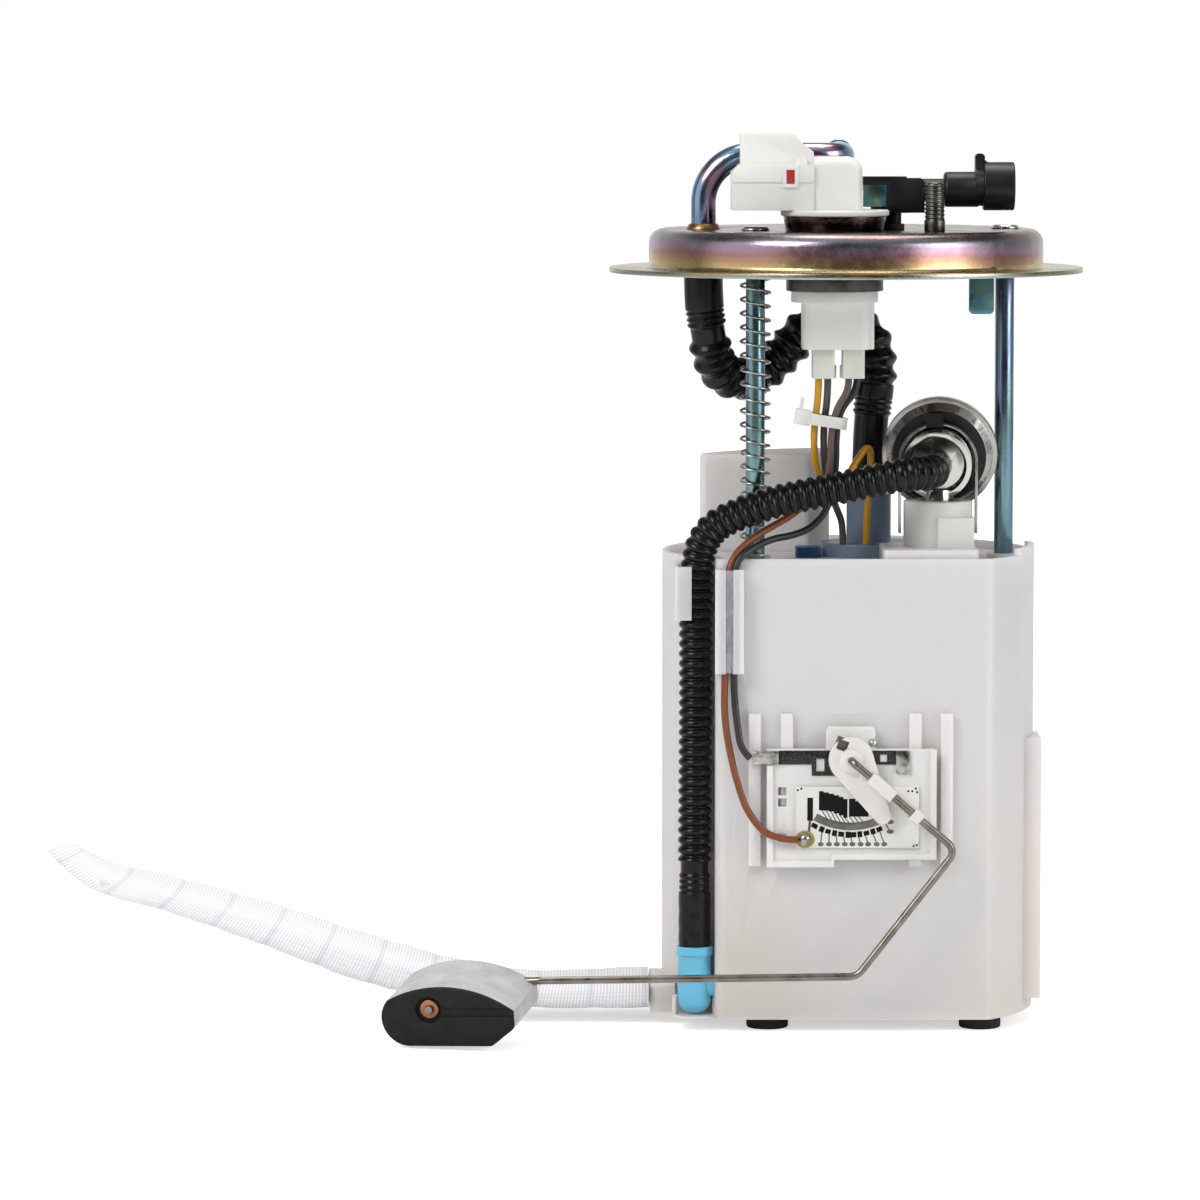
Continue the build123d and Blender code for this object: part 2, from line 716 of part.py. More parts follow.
def connector_housing():
    """Upper connector: a socket that opens to the left, its latch tower and slope, a rib and the round hood."""
    low = CONNECTOR_LOW
    left = CONN_X - SOCKET_LEFT
    back = CONN_X - HOOD_LEFT
    tower_right = CONN_X - LATCH_RIGHT
    tower_half = SOCKET_DEEP / 2 - LATCH_IN
    tower_top = low + SOCKET_TALL + LATCH_TALL
    body = connector_socket()
    body += around_connector(CONN_X - LATCH_LEFT, tower_right, tower_half, low + SOCKET_TALL - 1, tower_top)
    slope = make_face(Polyline(
        (tower_right, low), (tower_right, tower_top), SLOPE_MIDDLE, SLOPE_LOW,
        (back, low + HOOD_TALL), (back, low), close=True))
    body += extrude(side_view(CONN_Y) * slope, tower_half, both=True)
    hood = around_connector(back, CONN_X + HOOD_RIGHT, HOOD_DEEP / 2, low, low + HOOD_TALL)
    hood = fillet(hood.edges().filter_by(Axis.Y).sort_by(Axis.Z)[-2:].sort_by(Axis.X)[-1], HOOD_ROUND)
    body += fillet(vertical_edges(hood).sort_by(Axis.X)[-2:], HOOD_CORNER)
    body += around_connector(CONN_X - RIB_LEFT, CONN_X - RIB_RIGHT, HOOD_DEEP / 2 + RIB_PROUD, low,
                             low + RIB_TALL)
    body += post(CONN_X, CONN_Y, RING_BOTTOM + PIECE_GAP, low, NECK_RADIUS)
    body -= socket_cavity()
    lock_x = left + SOCKET_CAVITY + LOCK_BACK
    lock_z = low + LOCK_UP
    body -= around_connector(lock_x, lock_x + LOCK_WIDE, SOCKET_DEEP, lock_z, lock_z + LOCK_TALL)
    return body - blades(SEAT_GAP)


def socket_cavity():
    low = CONNECTOR_LOW + SOCKET_WALL
    high = CONNECTOR_LOW + SOCKET_TALL - SOCKET_WALL
    left = CONN_X - SOCKET_LEFT
    half = SOCKET_DEEP / 2 - SOCKET_WALL
    return around_connector(left - 1, left + SOCKET_CAVITY, half, low, high)


def connector_lock():
    """Coloured bar that locks the plug, seen through the side of the socket."""
    low = CONNECTOR_LOW + LOCK_UP
    left = CONN_X - SOCKET_LEFT + SOCKET_CAVITY + LOCK_BACK
    half = SOCKET_DEEP / 2 + SOCKET_STEP_IN - LOCK_SUNK
    return around_connector(left + SEAT_GAP, left + LOCK_WIDE - SEAT_GAP, half,
                            low + SEAT_GAP, low + LOCK_TALL - SEAT_GAP)


def blades(grow=0.0):
    """Four contact blades: into the socket, back to the neck and down to the lower connector."""
    level = CONNECTOR_LOW + BLADE_UP
    tip = CONN_X - SOCKET_LEFT + BLADE_BACK
    foot = PLUG_LOW + PLUG_TALL + BLADE_FOOT
    half = BLADE_THICK / 2 + grow
    side = BLADE_WIDE / 2 + grow
    pieces = []
    for i in range(BLADES):
        y = CONN_Y + (i - (BLADES - 1) / 2) * BLADE_PITCH
        flat = block(tip - grow, CONN_X + half, y - side, y + side, level - half, level + half)
        down = block(CONN_X - half, CONN_X + half, y - side, y + side, foot - grow, level + half)
        pieces.append(flat + down)
    return Compound(children=pieces) if grow == 0 else Part() + pieces


def lower_retaining_ring():
    """Dark steel ring that clamps the sleeve from below."""
    ring = post(CONN_X, CONN_Y, RING_BOTTOM, RING_BOTTOM + RING_TALL, RING_RADIUS)
    ring -= post(CONN_X, CONN_Y, RING_BOTTOM - 1, RING_BOTTOM + RING_TALL + 1, SLEEVE_RADIUS + SEAT_GAP)
    return ring


def lower_connector():
    """Connector body on the tank side: flange, rounded body and a key ridge on its right."""
    high = RING_BOTTOM
    flange_low = high - LOWER_FLANGE_THICK
    low = flange_low - LOWER_BODY_TALL
    body = post(CONN_X, CONN_Y, flange_low, high, LOWER_FLANGE_RADIUS)
    middle = CONN_X + LOWER_SHIFT
    left = middle - LOWER_BODY_LONG / 2
    right = middle + LOWER_BODY_LONG / 2
    half = LOWER_BODY_DEEP / 2
    box = block(left, right - KEY_RIDGE, CONN_Y - half, CONN_Y + half, low, flange_low + 0.5)
    box = fillet(vertical_edges(box), LOWER_CORNER)
    ridge = around_connector(right - RIDGE_LONG, right, half - RIDGE_IN, low, flange_low + 0.5)
    ridge = fillet(vertical_edges(ridge), LOWER_CORNER / 3)
    return body + box + ridge - blades(SEAT_GAP)


def harness_plugs():
    """Two cable plugs pushed up into the lower connector, each with a latch pip towards the other."""
    plugs = []
    for side, inward in ((0, 1), (1, -1)):
        x = plug_x(side)
        plug = around_connector(x - PLUG_LONG / 2, x + PLUG_LONG / 2, PLUG_DEEP / 2, PLUG_LOW,
                                PLUG_LOW + PLUG_TALL)
        plug = fillet(vertical_edges(plug), PLUG_CORNER)
        face = x + inward * PLUG_LONG / 2
        pip = around_connector(face - inward * PLUG_CORNER, face + inward * (LATCH_PIP - PIECE_GAP) / 2,
                               LATCH_PIP_DEEP / 2, PLUG_LOW, PLUG_LOW + LATCH_PIP_TALL)
        plugs.append(plug + pip)
    return Compound(children=plugs)


def outlet_pipe():
    """Steel outlet tube: up through the flange, over to the right and away to the back."""
    route = [
        (PIPE_X, PIPE_Y, PIPE_FOOT),
        (PIPE_X, PIPE_Y, PIPE_LEVEL),
        (PIPE_END_X, PIPE_Y, PIPE_LEVEL),
        (PIPE_END_X, PIPE_END_Y, PIPE_LEVEL),
    ]
    bends = [PIPE_BEND, PIPE_BEND_BACK]
    bar = round_bar(route, PIPE_RADIUS, bends)
    bead = Pos(PIPE_END_X, PIPE_END_Y - BEAD_BACK, PIPE_LEVEL) * Rot(90, 0, 0) * Cylinder(BEAD_RADIUS,
                                                                                          BEAD_LONG)
    bead = fillet(bead.edges().filter_by(GeomType.CIRCLE), BEAD_LONG / 3)
    return bar + bead - round_bar(route, PIPE_RADIUS - PIPE_WALL, bends)


def pipe_braze_ring():
    """Fillet of braze round the foot of the outlet pipe."""
    top = PIPE_RADIUS + 0.6
    cone = Pos(PIPE_X, PIPE_Y, DOME_HEIGHT + BRAZE_TALL / 2) * Cone(BRAZE_RADIUS, top, BRAZE_TALL)
    return cone - post(PIPE_X, PIPE_Y, DOME_HEIGHT - 1, DOME_HEIGHT + BRAZE_TALL + 1, PIPE_RADIUS + SEAT_GAP)


def ground_stud():
    """Weld stud: base shoulder on top, plain shank for the thread, flat head under the dome."""
    stud = post(STUD_X, STUD_Y, DOME_INSIDE, STUD_TOP, STUD_RADIUS)
    stud = chamfer(stud.edges().filter_by(GeomType.CIRCLE).sort_by(Axis.Z)[-1], 0.6)
    base = post(STUD_X, STUD_Y, DOME_HEIGHT, DOME_HEIGHT + STUD_BASE_TALL, STUD_BASE_RADIUS)
    head = post(STUD_X, STUD_Y, DOME_INSIDE - SHEET, DOME_INSIDE, STUD_HEAD_RADIUS)
    return stud + base + head


def pressure_sensor():
    """Pressure sensor: clamped bar and block, leg into the flange, round body, collar, latch and socket."""
    half = SENSOR_DEEP / 2
    front = SENSOR_Y - half
    back = SENSOR_Y + half
    bar = block(SENSOR_LEFT, SENSOR_BLOCK, front, back, SENSOR_TOP - SENSOR_BAR, SENSOR_TOP)
    middle = block(SENSOR_BLOCK - SENSOR_POST, SENSOR_BLOCK, front, back, SENSOR_BOTTOM, SENSOR_TOP)
    right = block(SENSOR_BLOCK - 1, SENSOR_RIGHT, front + SENSOR_SIDE_IN, back - SENSOR_SIDE_IN,
                  SENSOR_BOTTOM, SENSOR_TOP - SENSOR_RIGHT_DROP)
    corner = right.edges().filter_by(Axis.Y).sort_by(Axis.Z)[-2:].sort_by(Axis.X)[-1]
    body = bar + middle + chamfer(corner, SENSOR_CORNER)
    body += post(SENSOR_LEG_X, SENSOR_Y, DOME_INSIDE - SENSOR_LEG_OUT, SENSOR_BOTTOM + 1, SENSOR_LEG_RADIUS)
    body += post_x(SENSOR_Y, SENSOR_AXIS, SENSOR_RIGHT - 1, SENSOR_BODY_LEFT + 1, SENSOR_NECK_RADIUS)
    drum = post_x(SENSOR_Y, SENSOR_AXIS, SENSOR_BODY_LEFT, COLLAR_LEFT + 1, SENSOR_BODY_RADIUS)
    body += fillet(drum.edges().filter_by(GeomType.CIRCLE).sort_by(Axis.X)[0], SENSOR_CORNER)
    body += post_x(SENSOR_Y, BARREL_AXIS, COLLAR_LEFT, BARREL_LEFT + 1, SENSOR_COLLAR_RADIUS)
    barrel = post_x(SENSOR_Y, BARREL_AXIS, BARREL_LEFT, BARREL_RIGHT, BARREL_RADIUS)
    body += fillet(barrel.edges().filter_by(GeomType.CIRCLE), SENSOR_CORNER / 2)
    body += sensor_latch()
    body -= post_x(SENSOR_Y, BARREL_AXIS, BARREL_RIGHT - BARREL_DEEP, BARREL_RIGHT + 1,
                   BARREL_RADIUS - BARREL_WALL)
    for i in (-1, 0, 1):
        body += post_x(SENSOR_Y + i * BARREL_PIN_PITCH, BARREL_AXIS, BARREL_RIGHT - BARREL_DEEP - 1,
                       BARREL_RIGHT - BARREL_PIN_BACK, BARREL_PIN_RADIUS)
    return body


def sensor_latch():
    """Upright latch nose on the collar, with a slope down to the barrel."""
    top = BARREL_AXIS + BARREL_RADIUS + BARREL_LATCH_TALL
    right = COLLAR_LEFT + BARREL_LATCH_WIDE
    nose = block(COLLAR_LEFT, right, SENSOR_Y - BARREL_LATCH_WIDE, SENSOR_Y + BARREL_LATCH_WIDE,
                 BARREL_AXIS, top)
    nose = fillet(nose.edges().filter_by(Axis.Y).sort_by(Axis.Z)[-2:], SENSOR_CORNER)
    slope = make_face(Polyline((right - 1, top - BARREL_LATCH_TALL / 2), (right - 1, BARREL_AXIS),
                               (right + BARREL_LATCH_WIDE, BARREL_AXIS + BARREL_RADIUS - 1),
                               (right + BARREL_LATCH_WIDE / 3, BARREL_AXIS + BARREL_RADIUS), close=True))
    return nose + extrude(side_view(SENSOR_Y) * slope, BARREL_LATCH_WIDE / 2, both=True)


def sensor_bracket():
    """Zinc-plated bracket: plate in front, shelf under the sensor bar and a leg down to the dome behind."""
    half = SENSOR_DEEP / 2
    right = SENSOR_BLOCK - SENSOR_POST
    top = SENSOR_TOP - SENSOR_BAR
    front = SENSOR_Y - half
    back = SENSOR_Y + half
    plate = block(SENSOR_LEFT, right, front, front + SHEET, SENSOR_PLATE_LOW, top)
    plate += block(SENSOR_LEFT, right, front, back, top - SHEET, top)
    return plate + block(right - BRACKET_LEG, right, back - SHEET, back, DOME_HEIGHT, top)


def sensor_seal():
    """Rubber grommet between the sensor's leg and the dome."""
    seal = post(SENSOR_LEG_X, SENSOR_Y, DOME_HEIGHT, DOME_HEIGHT + SEAL_TALL, SEAL_RADIUS)
    return seal - post(SENSOR_LEG_X, SENSOR_Y, DOME_HEIGHT - 1, DOME_HEIGHT + SEAL_TALL + 1,
                       SENSOR_LEG_RADIUS + SEAT_GAP)


def guide_rod(place):
    """Guide rod: riveted head on the dome, shank below it and a groove near its end for the stop clip."""
    x, y = place
    groove_top = GUIDE_LOW
    groove_low = GUIDE_LOW - CLIP_THICK
    rod = post(x, y, groove_low - ROD_TAIL, DOME_INSIDE, ROD_RADIUS)
    rod = chamfer(rod.edges().filter_by(GeomType.CIRCLE).sort_by(Axis.Z)[0], 0.6)
    rod -= post(x, y, groove_low, groove_top, ROD_RADIUS + 1) - post(x, y, groove_low, groove_top,
                                                                    ROD_RADIUS - CLIP_GROOVE)
    rod += post(x, y, DOME_INSIDE, DOME_HEIGHT, ROD_NECK_RADIUS)
    head = post(x, y, DOME_HEIGHT, DOME_HEIGHT + ROD_HEAD_TALL, ROD_HEAD_RADIUS)
    head = chamfer(head.edges().filter_by(GeomType.CIRCLE).sort_by(Axis.Z)[-1], ROD_HEAD_TALL / 2)
    return rod + head


def rod_clips():
    """Stop clips in the rods' grooves, on which the reservoir cover hangs."""
    clips = []
    for x, y in (ROD_LEFT, ROD_RIGHT):
        clip = post(x, y, GUIDE_LOW - CLIP_THICK, GUIDE_LOW, CLIP_RADIUS)
        clip -= post(x, y, GUIDE_LOW - 2, GUIDE_LOW + 1, ROD_RADIUS - CLIP_GROOVE + SEAT_GAP)
        clip -= block(x - 1.2, x + 1.2, y - CLIP_RADIUS - 1, y, GUIDE_LOW - 2, GUIDE_LOW + 1)
        clips.append(clip)
    return Compound(children=clips)


def rod_spring():
    """Coil spring on the left rod, from the dome down to the cover's guide, in short straight steps."""
    x, y = ROD_LEFT
    low = GUIDE_TOP + SPRING_WIRE / 2
    tall = DOME_INSIDE - SPRING_WIRE / 2 - low
    steps = int(tall / SPRING_PITCH * SPRING_STEPS)
    turn = 2 * pi / SPRING_STEPS
    points = [
        (SPRING_RADIUS * cos(turn * i), SPRING_RADIUS * sin(turn * i), tall * i / steps)
        for i in range(steps + 1)
    ]
    coil = Polyline(*points)
    section = Plane(origin=coil @ 0, z_dir=coil % 0) * RegularPolygon(SPRING_WIRE / 2, 6)
    return Pos(x, y, low) * sweep(section, coil, transition=Transition.RIGHT)


def hanging_tab():
    """Zinc-plated tab with rounded corners that hangs from the dome."""
    half = TAB_WIDE / 2
    tab = block(TAB_X - half, TAB_X + half, TAB_Y, TAB_Y + SHEET, TAB_LOW, DOME_INSIDE)
    tab = fillet(tab.edges().filter_by(Axis.Y).sort_by(Axis.Z)[:2], 1.6)
    return tab + block(TAB_X - half, TAB_X + half, TAB_Y, TAB_Y + TAB_FOOT, DOME_INSIDE - SHEET, DOME_INSIDE)


def cable_tie():
    """Cable tie round the four wires, with its head on the left and a cut tail."""
    band = Box(TIE_LONG + 2 * TIE_WALL, TIE_DEEP + 2 * TIE_WALL, TIE_TALL)
    band = fillet(vertical_edges(band), TIE_CORNER + TIE_WALL)
    band -= fillet(vertical_edges(Box(TIE_LONG, TIE_DEEP, 2 * TIE_TALL)), TIE_CORNER)
    right = -TIE_LONG / 2
    left = right - TIE_HEAD
    half = TIE_HEAD / 2
    head = block(left, right, -half, half, -half, half)
    tail = block(left + TIE_WALL, left + 2 * TIE_WALL, TIE_WALL - half, half - TIE_WALL, 0, half + TIE_TALL)
    return Pos(TIE_X, TIE_Y, TIE_Z) * Rot(0, TIE_LEAN, 0) * (band + head + tail)


# ================================================================ reservoir
def reservoir_outline(inset=0.0):
    """Round footprint with a flat front and a corner cut back for the return hose."""
    big = 3 * RES_RADIUS
    outline = Pos(RES_X, 0) * Circle(RES_RADIUS)
    outline -= Pos(RES_X, -RES_FRONT - big / 2) * Rectangle(2 * big, big)
    outline -= Pos(CHANNEL_EDGE - big / 2, CHANNEL_BACK - big / 2) * Rectangle(big, big)
    corners = outline.vertices().filter_by(lambda v: v.Y < CHANNEL_BACK + 1)
    outline = fillet(corners, RES_CORNER)
    return offset(outline, -inset) if inset else outline


def strainer_port():
    """Space of the strainer neck's port through the reservoir wall."""
    half_y = NECK_DEEP / 2 + SEAT_GAP
    half_z = NECK_TALL / 2 + SEAT_GAP
    left = RES_X - RES_RADIUS
    port = block(left - PORT_OUT - 1, left + 3 * PORT_OUT, PORT_Y - half_y, PORT_Y + half_y,
                 NECK_Z - half_z, NECK_Z + half_z)
    return fillet(port.edges().filter_by(Axis.X), NECK_CORNER)


def reservoir():
    """Moulded bucket: flat front with rails and wire channel, hose hook, side pad and strainer port."""
    tall = RES_TOP - RES_BOTTOM
    front = -RES_FRONT
    body = Pos(0, 0, RES_BOTTOM) * extrude(reservoir_outline(), tall)
    body -= Pos(0, 0, RES_BOTTOM + RES_FLOOR) * extrude(reservoir_outline(RES_WALL), tall)
    ledge_top = COVER_TOP - COVER_THICK
    ledge = extrude(reservoir_outline(RES_WALL / 2), LEDGE_TALL) - extrude(
        reservoir_outline(RES_WALL + LEDGE_WIDE), LEDGE_TALL)
    body += Pos(0, 0, ledge_top - LEDGE_TALL) * ledge
    for x in RAIL_PLACES:
        body += block(x - RAIL_WIDE / 2, x + RAIL_WIDE / 2, front - RAIL_OUT, front + ROOT, RAIL_BOTTOM,
                      RAIL_TOP)
    body += wire_channel()
    body += hose_hook()
    body += rim_lug()
    right = RES_X + RES_RADIUS
    pad = block(right - SIDE_PAD_ROOT, right + SIDE_PAD_OUT, -SIDE_PAD_DEEP, 0, SIDE_PAD_LOW, SIDE_PAD_TOP)
    body += pad - Pos(0, 0, RES_BOTTOM) * extrude(reservoir_outline(RES_WALL / 2), tall)
    left = RES_X - RES_RADIUS
    half = NECK_DEEP / 2 + PORT_SIDE_WALL
    port = block(left - PORT_OUT, left + PORT_OUT, PORT_Y - half, PORT_Y + half, RES_BOTTOM,
                 NECK_Z + NECK_TALL / 2 + PORT_WALL)
    port = fillet(port.edges().filter_by(Axis.X).sort_by(Axis.Z)[-2:], NECK_CORNER)
    body += port - Pos(0, 0, RES_BOTTOM) * extrude(reservoir_outline(RES_WALL / 2), tall)
    body -= strainer_port()
    body += elbow_cup()
    body -= post_x(ELBOW_Y, ELBOW_NECK_Z, CHANNEL_EDGE - 1, CHANNEL_EDGE + RES_WALL + 1,
                   ELBOW_NECK_RADIUS + SEAT_GAP)
    for x, y in FOOT_PLACES:
        body -= post(x, y, RES_BOTTOM - 1, RES_BOTTOM + RES_FLOOR + 1, FOOT_STEM_RADIUS + SEAT_GAP)
    body -= post(VALVE_X, VALVE_Y, RES_BOTTOM - 1, RES_BOTTOM + RES_FLOOR + 1, VALVE_STEM + SEAT_GAP)
    for i in range(4):
        port_x = VALVE_X + VALVE_PORT_CIRCLE * cos(radians(45 + 90 * i))
        port_y = VALVE_Y + VALVE_PORT_CIRCLE * sin(radians(45 + 90 * i))
        body -= post(port_x, port_y, RES_BOTTOM - 1, RES_BOTTOM + RES_FLOOR + 1, VALVE_PORT / 2)
    return body


def rim_lug():
    """Raised stretch of the rim beside the right rod."""
    rim = reservoir_outline() - reservoir_outline(RES_WALL)
    ring = Pos(0, 0, RES_TOP - ROOT) * extrude(rim, LUG_TOP - RES_TOP + ROOT)
    return ring & block(LUG_LEFT, RES_X + RES_RADIUS + 1, LUG_FRONT, LUG_BACK, RES_TOP - ROOT, LUG_TOP)


def wire_channel():
    """Upright channel on the front: two walls with lips that leave a slot over the wires."""
    front = -RES_FRONT
    half = WIRE_CHANNEL_WIDE / 2
    rail = Part()
    for side in (-1, 1):
        wall_x = WIRE_CHANNEL_X + side * (half + WIRE_CHANNEL_WALL / 2)
        wall = block(wall_x - WIRE_CHANNEL_WALL / 2, wall_x + WIRE_CHANNEL_WALL / 2,
                     front - WIRE_CHANNEL_DEEP, front + ROOT, WIRE_CHANNEL_LOW, WIRE_CHANNEL_TOP)
        inner = WIRE_CHANNEL_X + side * WIRE_SLOT / 2
        outer = WIRE_CHANNEL_X + side * (half + WIRE_CHANNEL_WALL)
        lip = block(min(inner, outer), max(inner, outer), front - WIRE_CHANNEL_DEEP,
                    front - WIRE_CHANNEL_DEEP + WIRE_LIP, WIRE_CHANNEL_LOW, WIRE_CHANNEL_TOP)
        rail += wall + lip
    return rail


def hose_hook():
    """Hook on the left that laps round the return hose."""
    hose_front = ELBOW_Y - RETURN_HOSE / 2 - PIECE_GAP
    arm = block(HOOK_LEFT, HOOK_LEFT + HOOK_WALL, hose_front - HOOK_WALL, CHANNEL_BACK + HOOK_ROOT,
                HOOK_LOW, HOOK_TOP)
    lip = block(HOOK_LEFT, HOOK_LEFT + HOOK_LIP, hose_front - HOOK_WALL, hose_front, HOOK_LOW, HOOK_TOP)
    keep_out = Pos(0, 0, HOOK_LOW - 1) * extrude(reservoir_outline(RES_WALL / 2), HOOK_TOP - HOOK_LOW + 2)
    return arm + lip - keep_out


def elbow_cup():
    """Cup at the foot of the channel that holds the elbow, open to the front."""
    inner = ELBOW_RIM_RADIUS
    radius = inner + ELBOW_CUP_WALL
    high = ELBOW_NECK_Z - ELBOW_NECK_RADIUS
    floor_top = RES_BOTTOM + ELBOW_CUP_FLOOR
    cup = post(ELBOW_X, ELBOW_Y, RES_BOTTOM, high, radius)
    cup += block(ELBOW_X - inner, CHANNEL_EDGE + 1, ELBOW_Y, CHANNEL_BACK + 1, RES_BOTTOM,
                 RES_BOTTOM + RES_FLOOR)
    cup -= post(ELBOW_X, ELBOW_Y, floor_top, high + 1, inner)
    cup -= block(ELBOW_X - radius, ELBOW_X + radius, ELBOW_Y - radius, ELBOW_Y - ELBOW_CUP_WALL,
                 floor_top, high + 1)
    keep_out = Pos(0, 0, RES_BOTTOM - 1) * extrude(reservoir_outline(RES_WALL / 2), high - RES_BOTTOM + 2)
    return cup - keep_out


def filter_outline(inset=0.0):
    """Segment of a circle that keeps clear of the pump's sleeve."""
    big = 3 * FILTER_RADIUS
    outline = Pos(RES_X, 0) * Circle(FILTER_RADIUS)
    outline -= Pos(RES_X, FILTER_FRONT - big / 2) * Rectangle(2 * big, big)
    outline -= Pos(FILTER_RIGHT + big / 2, 0) * Rectangle(big, 2 * big)
    outline -= Pos(PUMP_X, PUMP_Y) * Circle(PUMP_RADIUS + ISOLATOR_WALL + FILTER_GAP)
    outline = outline.faces().sort_by(SortBy.AREA)[-1]
    outline = fillet(outline.vertices(), FILTER_CORNER)
    return offset(outline, -inset) if inset else outline


def reservoir_cover():
    """Cover plate with two rod guides, a raised platform for the regulator and openings for pump and filter."""
    low = COVER_TOP - COVER_THICK
    cover = Pos(0, 0, low) * extrude(reservoir_outline(RES_WALL + PIECE_GAP), COVER_THICK)
    platform = block(PLATFORM_LEFT, PLATFORM_RIGHT, PLATFORM_FRONT, PLATFORM_BACK, low, PLATFORM_TOP)
    platform = fillet(vertical_edges(platform), 1.5)
    cover += platform
    cover -= post(PUMP_X, PUMP_Y, low - 1, PLATFORM_TOP + 1, CAP_BASE_RADIUS + PIECE_GAP)
    cover -= Pos(0, 0, low - 1) * extrude(filter_outline(-SEAT_GAP), COVER_THICK + 2)
    for x, y in (ROD_LEFT, ROD_RIGHT):
        cover += post(x, y, GUIDE_LOW, GUIDE_TOP, GUIDE_RADIUS)
        cover -= post(x, y, GUIDE_LOW - 1, GUIDE_TOP + 1, ROD_RADIUS + RUNNING_GAP)
    return cover


def filter_housing():
    """Tall closed canister beside the pump, through the cover."""
    outer = Pos(0, 0, FILTER_LOW) * extrude(filter_outline(), FILTER_TOP - FILTER_LOW)
    outer = fillet(outer.faces().sort_by(Axis.Z)[-1].edges(), FILTER_EDGE)
    inner = Pos(0, 0, FILTER_LOW + FILTER_WALL) * extrude(
        filter_outline(FILTER_WALL), FILTER_TOP - FILTER_LOW - 2 * FILTER_WALL)
    return outer - inner


def filter_element():
    """Pleated paper pack inside the canister, as its envelope."""
    low = FILTER_LOW + FILTER_WALL
    high = FILTER_TOP - FILTER_WALL - ELEMENT_TOP_GAP
    return Pos(0, 0, low) * extrude(filter_outline(FILTER_WALL + ELEMENT_GAP), high - low)


def pump_cap():
    """Cap over the pump: skirt below the cover, round base above it and the outlet neck."""
    skirt_radius = PUMP_RADIUS + SEAT_GAP + CAP_SKIRT_WALL
    low = COVER_TOP - COVER_THICK
    cap = post(PUMP_X, PUMP_Y, low, CAP_BASE_TOP, CAP_BASE_RADIUS)
    cap = fillet(cap.edges().filter_by(GeomType.CIRCLE).sort_by(Axis.Z)[-1], 0.8)
    cap += post(PUMP_X, PUMP_Y, CAP_BASE_TOP - 1, CAP_NECK_TOP, CAP_NECK_RADIUS)
    cap += post(PUMP_X, PUMP_Y, CAP_SKIRT_LOW, low, skirt_radius)
    cap -= post(PUMP_X, PUMP_Y, CAP_SKIRT_LOW - 1, PUMP_TOP + 1, PUMP_RADIUS + SEAT_GAP)
    return cap - post(PUMP_X, PUMP_Y, PUMP_TOP, CAP_NECK_TOP + 1, 3.0)


def cap_clip():
    """Small clip that locks the cap to the cover."""
    right = PUMP_X - CAP_BASE_RADIUS - PIECE_GAP / 2
    y = PUMP_Y - 4.0
    clip = block(right - CAP_CLIP_LONG, right, y - CAP_CLIP_DEEP, y, COVER_TOP, CAP_CLIP_TOP)
    clip = fillet(vertical_edges(clip), 1.0)
    return clip - post(PUMP_X, PUMP_Y, COVER_TOP - 1, CAP_CLIP_TOP + 1, CAP_BASE_RADIUS + PIECE_GAP)


def fuel_pump():
    """Electric pump: crimped can, outlet boss at the top and inlet neck below."""
    pump = post(PUMP_X, PUMP_Y, PUMP_LOW, PUMP_TOP, PUMP_RADIUS)
    pump = fillet(pump.edges().filter_by(GeomType.CIRCLE), PUMP_CAN_EDGE)
    return pump + post(PUMP_X, PUMP_Y, PUMP_INLET_LOW, PUMP_LOW + 1, PUMP_INLET_RADIUS)


def pump_isolator():
    """Rubber cup that holds the pump's lower end."""
    inner = PUMP_RADIUS + SEAT_GAP
    cup = post(PUMP_X, PUMP_Y, PUMP_LOW - ISOLATOR_WALL, SLEEVE_TOP, inner + ISOLATOR_WALL)
    cup -= post(PUMP_X, PUMP_Y, PUMP_LOW, SLEEVE_TOP + 1, inner)
    cup -= post(PUMP_X, PUMP_Y, PUMP_LOW - 5, PUMP_LOW + 1, PUMP_INLET_RADIUS + SEAT_GAP)
    return cup


def regulator_place():
    return Pos(REG_X, REG_Y, REG_Z) * Rot(REG_DIP, 0, -REG_YAW)


def cup_x():
    """The cup stands under the nose where the spigot leaves it."""
    return REG_X + (CUP_Y - REG_Y) * tan(radians(REG_YAW))


def regulator_can():
    """Regulator: two pressed shells with a rolled seam, a domed back, a nose and the return nozzle."""
    half = REG_CAN_THICK / 2
    seam = REG_CAN_RADIUS
    shell = REG_CAN_RADIUS - REG_ROLL
    nose = half + REG_NOSE_LONG
    rim = REG_NOSE_RADIUS
    cup = rim - 1.6
    outline = Polyline(
        (0, -half - REG_BACK_TALL), (REG_BACK_RADIUS - 2, -half - REG_BACK_TALL), (REG_BACK_RADIUS, -half),
        (shell - 1, -half), (shell, -REG_ROLL), (seam, -REG_ROLL), (seam, REG_ROLL), (shell, REG_ROLL),
        (shell - 2, half), (rim, half), (rim, nose), (cup, nose), (cup - 1, nose - REG_NOSE_RECESS),
        (REG_NOZZLE_RADIUS, nose - REG_NOSE_RECESS), (REG_NOZZLE_RADIUS,
                                                      nose - REG_NOSE_RECESS + REG_NOZZLE_LONG),
        (0, nose - REG_NOSE_RECESS + REG_NOZZLE_LONG), close=True,
    )
    turned = revolve(Plane.XZ * make_face(outline), Axis.Z)
    can = regulator_place() * Rot(90, 0, 0) * turned
    spigot = post(cup_x(), CUP_Y, CUP_TOP - 5.0, REG_Z - REG_NOSE_RADIUS, REG_SPIGOT_RADIUS)
    return can + spigot


